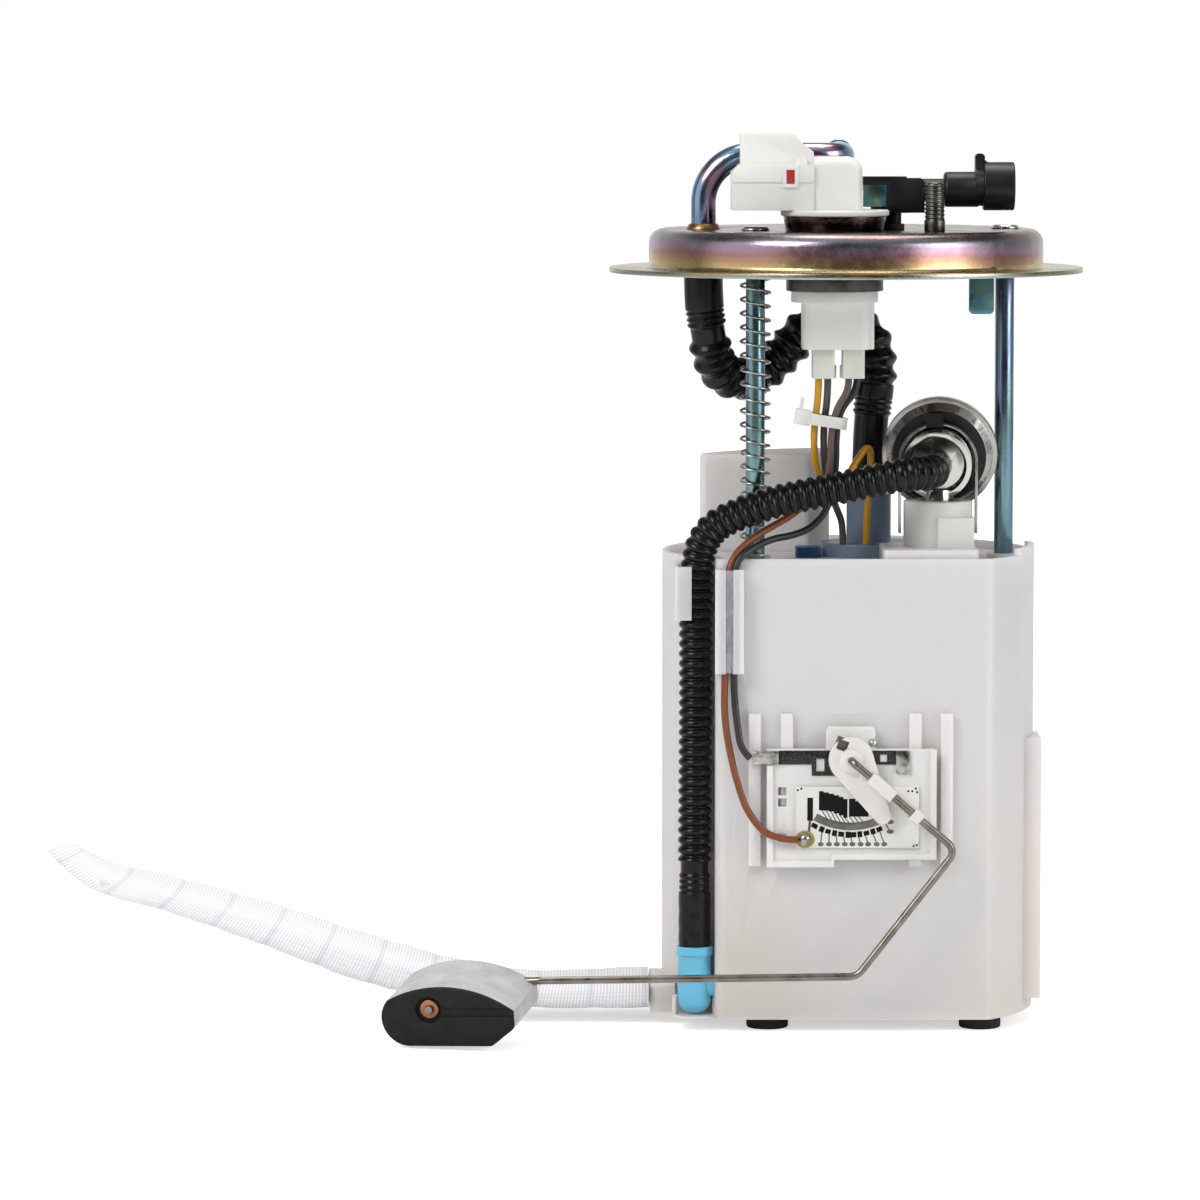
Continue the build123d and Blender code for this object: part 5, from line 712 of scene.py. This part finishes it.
BLACK_ROUTE = [
    (2.7, -26.0, PLUG_LOW), (2.7, -26.0, -36.8), (-2.8, -27.2, -43.0), (-4.0, -27.4, -50.8),
    (-3.9, -27.4, -61.4), (-6.0, -29.0, -73.8), (-11.7, -30.8, -80.4), (-18.3, -33.1, -82.7),
    (-24.6, -35.7, -83.4), (-32.2, -42.2, -86.6), (-36.7, -43.9, -91.0), (-36.6, -43.9, -104.0),
    (-36.7, -43.9, -119.9), (-36.6, -44.0, -133.0), (-35.4, -45.6, -143.0), (-34.4, -47.2, -149.4),
    (-31.5, -47.6, -152.1),
]


# ---------------- settings
def length(name, default, description):
    """Setting for a length in millimetres."""
    return bpy.props.FloatProperty(name=name, default=default, min=0.05, description=f"{description}, in mm")


class PumpModuleSettings(bpy.types.PropertyGroup):
    """Sizes that a user would change."""
    edge: length("Edge rounding", 0.25, "Usual rounding of moulded edges")
    feed_root: length("Feed hose root", 5.5, "Radius between the ribs")
    feed_rib: length("Feed hose rib", 1.45, "Height of a rib")
    feed_pitch: length("Feed hose pitch", 5.3, "Distance between ribs")
    return_root: length("Return hose root", 4.25, "Radius between the ribs")
    return_rib: length("Return hose rib", 1.15, "Height of a rib")
    return_pitch: length("Return hose pitch", 3.14, "Distance between ribs")
    wire_radius: length("Wire radius", 1.12, "Outside radius of a wire")
    spring_wire: length("Spring wire", 0.4, "Radius of the spring's wire")
    spring_turns: bpy.props.FloatProperty(name="Spring turns", description="Turns of the rod spring",
                                          default=23.0, min=1.0)
    lamp_power: bpy.props.FloatProperty(name="Lamp power", description="Power of the key lamp, in watts",
                                        default=17.0, min=0.0)


def settings():
    return bpy.context.scene.pump_module


# ---------------- operators
class PUMP_OT_finishes(bpy.types.Operator):
    """Merge, round and finish every solid that keeps its form"""
    bl_idname = "pump.finishes"
    bl_label = "Solids and finishes"

    def execute(self, context):
        MATERIALS.update(make_materials())
        for name in NODE_FINISH:
            obj = dressed_copy(name)
            round_edges(obj, NODE_EDGE.get(name, settings().edge))
            smooth(obj)
            for material, test in SECOND_FINISH.get(name, ()):
                paint_faces(obj, material, test)
            settle(obj, body_of(name), slot_of(name), name)
        return {"FINISHED"}


class PUMP_OT_hoses(bpy.types.Operator):
    """Corrugated feed and return hoses"""
    bl_idname = "pump.hoses"
    bl_label = "Hoses"

    def execute(self, context):
        s = settings()
        tree = corrugation_tree(5)
        # Each zone: start, end, swelling, pitch and height of its ribs.
        zones = [
            (0.0, 12.8, 0.75, 1.0, 0.0),
            (12.8, 18.2, 0.1, 1.8, 0.7),
            (22.4, 112.6, 0.0, s.feed_pitch, s.feed_rib),
            (112.6, 117.0, 0.6, 1.0, 0.0),
            (117.0, 122.6, 0.2, 1.85, 0.6),
        ]
        values = self.values(s.feed_root, 48, s.feed_pitch / 16, 2.2, zones)
        feed = built(route_curve("feed_hose_corrugated", FEED_ROUTE), tree, values)
        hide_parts("feed_hose")
        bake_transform(feed)
        zones = [
            (0.0, 6.0, 0.4, 1.0, 0.0),
            (6.0, 193.0, 0.0, s.return_pitch, s.return_rib),
            (193.0, 197.0, 0.2, 1.0, 0.0),
            (197.0, 203.0, 0.2, 1.9, 0.5),
            (203.0, 240.0, 0.8, 6.2, 0.1),
        ]
        values = self.values(s.return_root, 40, s.return_pitch / 12, 1.0, zones)
        hose = built(route_curve("return_hose_corrugated", RETURN_ROUTE), tree, values)
        settle(hose, RESERVOIR, "hose_black", "return_hose")
        return {"FINISHED"}

    @staticmethod
    def values(radius, around, step, sharp, zones):
        made = {"Radius": radius * MM, "Around": around, "Step": step * MM, "Sharp": sharp,
                "Material": MATERIALS["hose"]}
        for i, zone in enumerate(zones):
            made.update((f"Zone {i + 1} {part}", value * MM) for part, value in zip(ZONE_PARTS, zone))
        return made


class PUMP_OT_wires(bpy.types.Operator):
    """Insulated wires from the plugs to the pump and to the level sender"""
    bl_idname = "pump.wires"
    bl_label = "Wires"

    def execute(self, context):
        radius = settings().wire_radius
        tree = corrugation_tree(0)
        routes = [
            ("yellow_wire", YELLOW_ROUTE, "yellow_wire", "wire_yellow", "pump_wires"),
            ("power_wire", POWER_ROUTE, "grey_wire", "wire_yellow", "pump_wires"),
            ("brown_wire", BROWN_ROUTE, "brown_wire", "wire_brown", "sender_wires"),
            ("black_wire", BLACK_ROUTE, "black_wire", "wire_brown", "sender_wires"),
        ]
        for name, route, material, slot, replaced in routes:
            wire = built(route_curve(name, route), tree, {
                "Radius": radius * MM, "Around": 20, "Step": 0.6 * radius * MM,
                "Material": MATERIALS[material]})
            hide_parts(replaced)
            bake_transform(wire)
        return {"FINISHED"}


class PUMP_OT_spring(bpy.types.Operator):
    """Coil spring on the left guide rod, and the weld stud's thread"""
    bl_idname = "pump.spring"
    bl_label = "Rod spring and stud thread"

    # The stud's M6 thread, with the pitch drawn at 1.25 so that its turns show.
    THREAD_FOOT, THREAD_PITCH, THREAD_RADIUS, THREAD_WIRE, TIP = 17.8, 1.25, 2.75, 0.42, 0.8

    def execute(self, context):
        s = settings()
        low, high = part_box("rod_spring")
        centre = (low + high) / 2
        wire = s.spring_wire * MM
        coil = wire_coil("rod_spring_coil", (centre.x, centre.y, low.z + wire), {
            "Turns": s.spring_turns, "Radius": (high.x - low.x) / 2 - wire, "Wire": wire,
            "Height": high.z - low.z - 2 * wire, "Steps": 28, "Material": MATERIALS["steel"]})
        settle(coil, FLANGE, "steel_bright", "rod_spring")
        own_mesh(coil)
        self.thread()
        return {"FINISHED"}

    def thread(self):
        """Rolled thread on the weld stud, from its shoulder to just under its tip."""
        low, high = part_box("ground_stud")
        centre = (low + high) / 2
        foot = self.THREAD_FOOT * MM
        tall = high.z - self.TIP * MM - foot
        coil = wire_coil("stud_thread", (centre.x, centre.y, foot), {
            "Turns": tall / (self.THREAD_PITCH * MM), "Radius": self.THREAD_RADIUS * MM, "Height": tall,
            "Wire": self.THREAD_WIRE * MM, "Steps": 32, "Material": MATERIALS["stud"]})
        settle(coil, FLANGE, slot_of("ground_stud"))


# ---------------- print
def facing(y):
    """Plane that faces the front at a depth: local X is X, local Y is Z, local Z comes out of it."""
    return Matrix(((1, 0, 0, 0), (0, 0, -1, y), (0, 1, 0, 0), (0, 0, 0, 1)))


def line_outline(start, end, wide):
    """Corners of a straight stroke between two points."""
    start, end = Vector(start), Vector(end)
    side = (end - start).normalized().orthogonal() * wide / 2
    return [tuple(start + side), tuple(end + side), tuple(end - side), tuple(start - side)]


def oval_outline(x, y, wide, tall, steps=20):
    angles = [2 * pi * i / steps for i in range(steps)]
    return [(x + wide / 2 * cos(a), y + tall / 2 * sin(a)) for a in angles]


def arc_outline(x, y, inner, outer, first, last, steps=24):
    """Band of an arc about a point, between two angles in degrees."""
    angles = [radians(first + (last - first) * i / steps) for i in range(steps + 1)]
    near = [(x + inner * cos(a), y + inner * sin(a)) for a in angles]
    far = [(x + outer * cos(a), y + outer * sin(a)) for a in reversed(angles)]
    return near + far


class PUMP_OT_sender(bpy.types.Operator):
    """Print and flux on the sender's card, and three thin pieces: clip tab, contact carrier, clear wall"""
    bl_idname = "pump.sender"
    bl_label = "Sender print"

    HUB = (0.3, -152.3)
    # Printed resistors: left, right, top and foot.
    STEPS = [(-9.7, -8.2, -162.7, -168.8), (-8.2, -6.6, -163.1, -168.9), (-6.6, -5.0, -163.5, -169.2),
             (-5.0, -3.4, -164.0, -169.8), (-3.4, -2.0, -164.5, -170.4), (-2.0, -0.7, -165.2, -171.2),
             (-0.2, 1.8, -165.1, -170.8), (1.8, 3.8, -165.9, -170.8), (3.8, 6.0, -166.7, -170.8),
             (-13.4, -11.6, -164.8, -172.1)]
    # Centres of the row of silver ovals, and of the two at its right.
    OVALS = [-9.1, -6.5, -4.0, -1.5, 0.9, 3.5, 5.9, 8.6, 11.0]
    OVAL_Z, SIDE_OVALS = -179.6, [(12.9, -172.5), (12.9, -175.6)]
    # Pads round the hub: angle in degrees, width and height.
    PADS = [(-118, 2.0, 1.5), (-112, 1.6, 1.8), (-107, 1.7, 1.5), (-102, 1.5, 1.9), (-97, 1.9, 1.6),
            (-92, 1.5, 2.0), (-88, 2.0, 1.7), (-83, 1.5, 1.9), (-78, 1.8, 1.5), (-73, 1.6, 1.8),
            (-68, 1.9, 1.5)]
    PAD_RING = 24.3
    # Small printed marks.
    MARKS = [(-16.4, -162.4), (-15.3, -161.9), (19.8, -162.7), (20.9, -161.9), (21.3, -163.0), (18.5, -162.7),
             (20.3, -180.2), (21.3, -179.9)]
    # Silver track round the hub: inner and outer radius, first and last angle.
    TRACK = (20.4, 22.9, -121, -60)
    # Leads from the pads' ring to the ovals: ring, X of the upright one, and angle per millimetre of X.
    FAN_RING, FAN_MIDDLE, FAN_TURN = 24.6, 0.9, 2.15
    # Where the leads to the two ovals at the side start: radius and angle.
    SIDE_START = (22.0, -62)
    # Leads from the resistors to the track: count, first X, pitch, ring, X of the upright one, angle per mm.
    TIES, TIE_FIRST, TIE_PITCH, TIE_RING, TIE_MIDDLE, TIE_TURN = 9, -8.9, 1.45, 21.0, -1.6, 2.7
    LINK = ((-12.5, -171.9), (-12.9, -176.0))
    LEAD_WIDE, TIE_WIDE, LINK_WIDE, RUN_ON = 0.36, 0.34, 0.8, 0.2
    # Width and height of an oval in the row, of one at the side, and of a mark.
    OVAL, SIDE_OVAL, MARK = (1.9, 1.4), (2.3, 1.4), (0.7, 0.7)
    # Thickness of the print.
    PAD, INK, DOT, LEAD = 0.06, 0.05, 0.04, 0.03
    # Ring of flux round the terminal: middle, width and height, and thickness.
    FLUX, FLUX_THICK = (-14.1, -178.0, 6.2, 5.6), 0.08
    # Thin pieces that face the front: left, low, right and top, then the Y of the back, and thickness.
    TAB, TAB_BACK, TAB_THICK = (24.9, -49.0, 30.6, -44.6), -19.26, 0.39
    FILM, FILM_BACK, FILM_THICK = (-40.6, -125.3, -35.3, -92.8), -45.35, 0.4
    # Square carrier of the contacts: middle, turn in degrees, outline, thickness, and its depth in the arm.
    CARRIER_AT, CARRIER_TURN, CARRIER = (-2.4, -147.7, 0), -20, (-2.3, -2.3, 2.3, 2.3)
    CARRIER_THICK, CARRIER_BACK = 0.25, 0.35

    def execute(self, context):
        plane = facing(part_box("resistor_card")[0].y / MM)
        for name, bm, material in (("resistor_print", self.ink(plane), "resistor"),
                                   ("lead_print", self.leads(plane), "lead"),
                                   ("silver_print", self.silver(plane), "track")):
            settle(mesh_object(name, bm, material), RESERVOIR, slot_of("resistor_card"))
        self.slab("flux_ring", oval_outline(*self.FLUX, 32), self.FLUX_THICK, plane, "flux",
                  RESERVOIR, "resistor_card")
        self.slab("clip_tab_cover", rectangle(*self.TAB), self.TAB_THICK, facing(self.TAB_BACK), "black",
                  RESERVOIR, "regulator_clip")
        contacts = facing(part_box("wiper_contacts")[0].y / MM + self.CARRIER_BACK)
        turn = Matrix.Translation(self.CARRIER_AT) @ Matrix.Rotation(radians(self.CARRIER_TURN), 4, "Z")
        self.slab("contact_carrier", rectangle(*self.CARRIER), self.CARRIER_THICK, contacts @ turn, "carrier",
                  ARM, "wiper_contacts")
        self.slab("channel_film", rectangle(*self.FILM), self.FILM_THICK, facing(self.FILM_BACK), "film",
                  RESERVOIR, "reservoir")
        return {"FINISHED"}

    @staticmethod
    def slab(name, outline, depth, matrix, material, body, near):
        """Thin piece of its own, on the node that it lies on."""
        bm = bmesh.new()
        prism_into(bm, outline, depth, matrix)
        settle(mesh_object(name, bm, material), body, slot_of(near))

    def ink(self, plane):
        """Printed resistors, marks and pads."""
        bm = bmesh.new()
        for left, right, top, low in self.STEPS:
            prism_into(bm, rectangle(left, low, right, top), self.INK, plane)
        for mark in self.MARKS:
            prism_into(bm, oval_outline(*mark, *self.MARK, 10), self.DOT, plane)
        for angle, wide, tall in self.PADS:
            turn = Matrix.Rotation(radians(angle + 90), 4, "Z")
            turn.translation = (*self.around(self.PAD_RING, angle), 0)
            prism_into(bm, rectangle(-wide / 2, -tall / 2, wide / 2, tall / 2), self.PAD, plane @ turn)
        return bm

    def silver(self, plane):
        """Silver track and ovals."""
        bm = bmesh.new()
        prism_into(bm, arc_outline(*self.HUB, *self.TRACK), self.LEAD, plane)
        for x in self.OVALS:
            prism_into(bm, oval_outline(x, self.OVAL_Z, *self.OVAL), self.DOT, plane)
        for middle in self.SIDE_OVALS:
            prism_into(bm, oval_outline(*middle, *self.SIDE_OVAL), self.DOT, plane)
        return bm

    def leads(self, plane):
        """Leads from the pads to the ovals, and from the resistors to the track. A lead whose X lies between
        two resistors starts at the height of the seventh."""
        lines = []
        for x in self.OVALS:
            start = self.around(self.FAN_RING, -90 + (x - self.FAN_MIDDLE) * self.FAN_TURN)
            lines.append((start, (x, self.OVAL_Z + self.RUN_ON), self.LEAD_WIDE))
        for middle in self.SIDE_OVALS:
            lines.append((self.around(*self.SIDE_START), middle, self.LEAD_WIDE))
        for i in range(self.TIES):
            x = self.TIE_FIRST + self.TIE_PITCH * i
            low = next(step[3] for step in self.STEPS if step[0] <= x <= step[1] or step is self.STEPS[6])
            end = self.around(self.TIE_RING, -90 + (x - self.TIE_MIDDLE) * self.TIE_TURN)
            lines.append(((x, low + self.RUN_ON), end, self.TIE_WIDE))
        lines.append((*self.LINK, self.LINK_WIDE))
        bm = bmesh.new()
        for line in lines:
            prism_into(bm, line_outline(*line), self.LEAD, plane)
        return bm

    def around(self, radius, degrees):
        """Point round the hub, in the card's plane."""
        return (self.HUB[0] + radius * cos(radians(degrees)), self.HUB[1] + radius * sin(radians(degrees)))


# ---------------- strainer
# Lower and upper edge of the sock, from the reservoir to its far end, the pitch of its spacer's bars, and the
# steps in each span between two of its points.
SOCK_LOWER = [(-63.3, -236.2), (-101.6, -236.0), (-127.1, -233.2), (-154.5, -228.2), (-194.1, -213.4),
              (-221.6, -204.0), (-240.9, -198.8), (-252.5, -191.6), (-257.2, -186.6)]
SOCK_UPPER = [(-63.3, -225.6), (-102.0, -226.8), (-128.0, -222.4), (-154.8, -214.6), (-188.4, -204.0),
              (-224.8, -194.4), (-237.7, -190.6), (-249.5, -183.6)]
BAR_PITCH = 17.5
SPAN_STEPS = 24


def smooth_path(points, steps):
    """Evenly spaced points of a curve that passes through all the given ones."""
    points = [Vector(point) for point in points]
    ends = [2 * points[0] - points[1], *points, 2 * points[-1] - points[-2]]
    fine = []
    for p0, p1, p2, p3 in zip(ends, ends[1:], ends[2:], ends[3:]):
        for i in range(SPAN_STEPS):
            t = i / SPAN_STEPS
            fine.append(0.5 * (2 * p1 + (p2 - p0) * t + (2 * p0 - 5 * p1 + 4 * p2 - p3) * t * t
                               + (3 * p1 - p0 - 3 * p2 + p3) * t ** 3))
    fine.append(points[-1])
    lengths = [0.0]
    for a, b in zip(fine, fine[1:]):
        lengths.append(lengths[-1] + (b - a).length)
    made = []
    for i in range(steps + 1):
        goal = lengths[-1] * i / steps
        k = max(1, bisect_left(lengths, goal - 1e-9))
        share = (goal - lengths[k - 1]) / (lengths[k] - lengths[k - 1])
        made.append(fine[k - 1].lerp(fine[k], share))
    return made


class PUMP_OT_strainer(bpy.types.Operator):
    """Strainer sock of woven cloth: full over its spacer, welded flat and flared at its far end"""
    bl_idname = "pump.strainer"
    bl_label = "Strainer sock"

    STATIONS, AROUND = 180, 40
    # Share of the length at which it starts to flatten, how sharply it does, and half the weld's thickness.
    FLAT_FROM, FLAT_POWER, WELD = 0.84, 1.5, 1.2
    # How far the cloth sinks in at a bar, how narrow that is, and how square the section is each way.
    SINK, SINK_POWER, SQUARE_ACROSS, SQUARE_UP = 0.05, 6, 0.5, 0.62
    # Girth of the section, in half depths.
    GIRTH = 2.6

    def execute(self, context):
        low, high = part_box("strainer_sock")
        middle = (low.y + high.y) / 2 / MM
        half_deep = (high.y - low.y) / 2 / MM
        bm = bmesh.new()
        layer = bm.loops.layers.uv.new("cloth")
        edges = list(zip(smooth_path(SOCK_LOWER, self.STATIONS), smooth_path(SOCK_UPPER, self.STATIONS)))
        centres = [(foot + head) / 2 for foot, head in edges]
        rings, along = [], 0.0
        for i, (foot, head) in enumerate(edges):
            if i:
                along += (centres[i] - centres[i - 1]).length
            flat = max(0.0, (i / self.STATIONS - self.FLAT_FROM) / (1 - self.FLAT_FROM)) ** self.FLAT_POWER
            deep = half_deep * (1 - flat) + self.WELD * flat
            billow = 1 - self.SINK * abs(cos(pi * along / BAR_PITCH)) ** self.SINK_POWER
            ring = []
            for k in range(self.AROUND):
                angle = 2 * pi * k / self.AROUND
                rise = self.soft(sin(angle), self.SQUARE_UP) * billow
                place = centres[i] + (head - foot) / 2 * rise
                across = self.soft(cos(angle), self.SQUARE_ACROSS) * deep
                ring.append(bm.verts.new(mm(place.x, middle + across, place.y)))
            rings.append((ring, along))
        turn = self.GIRTH * half_deep / self.AROUND
        for (ring, start), (following, end) in zip(rings, rings[1:]):
            for k in range(self.AROUND):
                j = (k + 1) % self.AROUND
                face = bm.faces.new((ring[k], ring[j], following[j], following[k]))
                for loop, (u, v) in zip(face.loops, ((start, k), (start, k + 1), (end, k + 1), (end, k))):
                    loop[layer].uv = (u * MM, v * turn * MM)
        bm.faces.new(list(reversed(rings[0][0])))
        bm.faces.new(rings[-1][0])
        bmesh.ops.recalc_face_normals(bm, faces=bm.faces)
        sock = mesh_object("strainer_sock_cloth", bm, "mesh")
        smooth(sock, 50.0)
        settle(sock, RESERVOIR, slot_of("strainer_sock"), "strainer_sock")
        return {"FINISHED"}

    @staticmethod
    def soft(value, power):
        """Rounds a section towards a box: the lower the power, the squarer it is."""
        return (abs(value) ** power) * (1 if value >= 0 else -1)


class PUMP_OT_stage(bpy.types.Operator):
    """Pale floor, soft lamps and the camera"""
    bl_idname = "pump.stage"
    bl_label = "Stage"

    CAMERA_AT, CAMERA_TILT, LENS, SENSOR = (-79, -2000, 70), 5.03, 186.5, 36.0
    FLOOR_HALF, FLOOR_GAP = 3000, 0.05
    # Lamps: place and size in millimetres, and power as a share of the key lamp's.
    LAMPS = {
        "key": ((-1000, -1100, 1000), 800, 1.0),
        "fill": ((1350, -900, 450), 900, 0.55),
        "top": ((100, 300, 1500), 900, 0.8),
    }
    AIM = (0, 0, -100)

    def execute(self, context):
        scene = context.scene
        camera_data = bpy.data.cameras.new("camera")
        camera_data.lens = self.LENS
        camera_data.sensor_width = self.SENSOR
        scene.camera = link("camera", camera_data)
        scene.camera.location = mm(*self.CAMERA_AT)
        scene.camera.rotation_euler = (radians(90 - self.CAMERA_TILT), 0, 0)
        bm = bmesh.new()
        size = self.FLOOR_HALF
        floor_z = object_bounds()[0].z / MM - self.FLOOR_GAP
        bm.faces.new([bm.verts.new(mm(x, y, floor_z)) for x, y in rectangle(-size, -size, size, size)])
        MATERIALS["floor"] = self.floor_material()
        floor = mesh_object("floor", bm, "floor")
        floor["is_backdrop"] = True
        self.world(scene)
        for name, (place, wide, share) in self.LAMPS.items():
            data = bpy.data.lights.new(name, "AREA")
            data.size = wide * MM
            data.energy = settings().lamp_power * share
            lamp = link(name, data)
            lamp.location = mm(*place)
            lamp.rotation_euler = (mm(*self.AIM) - lamp.location).to_track_quat("-Z", "Y").to_euler()
        scene.view_settings.view_transform = "Standard"
        return {"FINISHED"}

    @staticmethod
    def floor_material():
        """Matt white board: its own white shows to the camera, and a soft shadow stays under the object."""
        material, tree, shader, place = new_material("matt_white_board")
        board = mottle(tree, place, 60.0, 2.0, [(0.3, "#F4F4F4"), (0.7, "#FAFAFA")])
        fill(tree, shader, {"Base Color": board, "Roughness": 0.9})
        seen = node(tree, "ShaderNodeLightPath").outputs["Is Camera Ray"]
        away = node(tree, "ShaderNodeVectorMath", {0: place}, operation="LENGTH").outputs["Value"]
        glow = node(tree, RANGE, {0: away, 1: 350 * MM, 2: 700 * MM, 3: 0.55, 4: 1.0})
        white = node(tree, "ShaderNodeEmission", {"Color": linear("#FFFFFF"), "Strength": glow})
        total = node(tree, "ShaderNodeAddShader", {0: shader, 1: white})
        mixed = node(tree, "ShaderNodeMixShader", {0: seen, 1: shader, 2: total})
        fill(tree, tree.nodes["Material Output"], {"Surface": mixed})
        return material

    @staticmethod
    def world(scene):
        """White to the camera, dim as light, and a room of pale and dark boards in what is glossy."""
        world = bpy.data.worlds.new("studio")
        world.use_nodes = True
        tree = world.node_tree
        background = tree.nodes["Background"]
        fill(tree, background, {"Color": linear("#F4F4F4"), "Strength": 0.4})
        ray = node(tree, "ShaderNodeLightPath").outputs
        way = node(tree, SPLIT, {0: node(tree, "ShaderNodeTexCoord").outputs["Generated"]}).outputs
        turn = node(tree, RANGE, {0: way[1], 1: -1.0, 2: 1.0, 3: 0.0, 4: 1.0})
        boards = node(tree, RAMP, {0: turn}, [
            (0.0, "#4A4A4A"), (0.07, "#565656"), (0.15, "#F4F4F4"), (0.42, "#FFFFFF"), (0.56, "#7A7A7A"),
            (0.8, "#BEBEBE"), (1.0, "#FFFFFF")])
        above = node(tree, RAMP, {0: way[2]},
                     [(0.0, "#FFFFFF"), (0.45, "#FFFFFF"), (0.62, "#7A7A7A"), (0.9, "#E6E6E6")])
        room = node(tree, MIX, {0: 1.0, 6: boards, 7: above}, data_type="RGBA", blend_type="MULTIPLY")
        gloss = node(tree, "ShaderNodeBackground", {"Color": room.outputs[2], "Strength": 1.0})
        white = node(tree, "ShaderNodeBackground", {"Color": linear("#FFFFFF"), "Strength": 1.0})
        lit = node(tree, "ShaderNodeMixShader", {0: ray["Is Glossy Ray"], 1: background, 2: gloss})
        straight = node(tree, MATH, {0: ray["Is Camera Ray"], 1: ray["Is Transmission Ray"]},
                        operation="MAXIMUM")
        mixed = node(tree, "ShaderNodeMixShader", {0: straight, 1: lit, 2: white})
        fill(tree, tree.nodes["World Output"], {"Surface": mixed})
        scene.world = world


class PUMP_PT_panel(bpy.types.Panel):
    """Lists the steps that dress the module"""
    bl_idname = "PUMP_PT_panel"
    bl_label = "Pump module"
    bl_space_type = "VIEW_3D"
    bl_region_type = "UI"
    bl_category = "Pump module"

    def draw(self, context):
        for step in OPERATORS:
            self.layout.operator(step.bl_idname)
        for name in PumpModuleSettings.__annotations__:
            self.layout.prop(context.scene.pump_module, name)


OPERATORS = (PUMP_OT_finishes, PUMP_OT_hoses, PUMP_OT_wires, PUMP_OT_spring, PUMP_OT_sender, PUMP_OT_strainer,
             PUMP_OT_stage)
CLASSES = (PumpModuleSettings, *OPERATORS, PUMP_PT_panel)


def register():
    for cls in CLASSES:
        bpy.utils.register_class(cls)
    bpy.types.Scene.pump_module = bpy.props.PointerProperty(type=PumpModuleSettings)


def unregister():
    del bpy.types.Scene.pump_module
    for cls in reversed(CLASSES):
        bpy.utils.unregister_class(cls)


def main():
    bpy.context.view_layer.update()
    register()
    bpy.ops.pump.finishes()
    bpy.ops.pump.hoses()
    bpy.ops.pump.wires()
    bpy.ops.pump.spring()
    bpy.ops.pump.sender()
    bpy.ops.pump.strainer()
    bpy.ops.pump.stage()


if __name__ == "__main__":
    main()
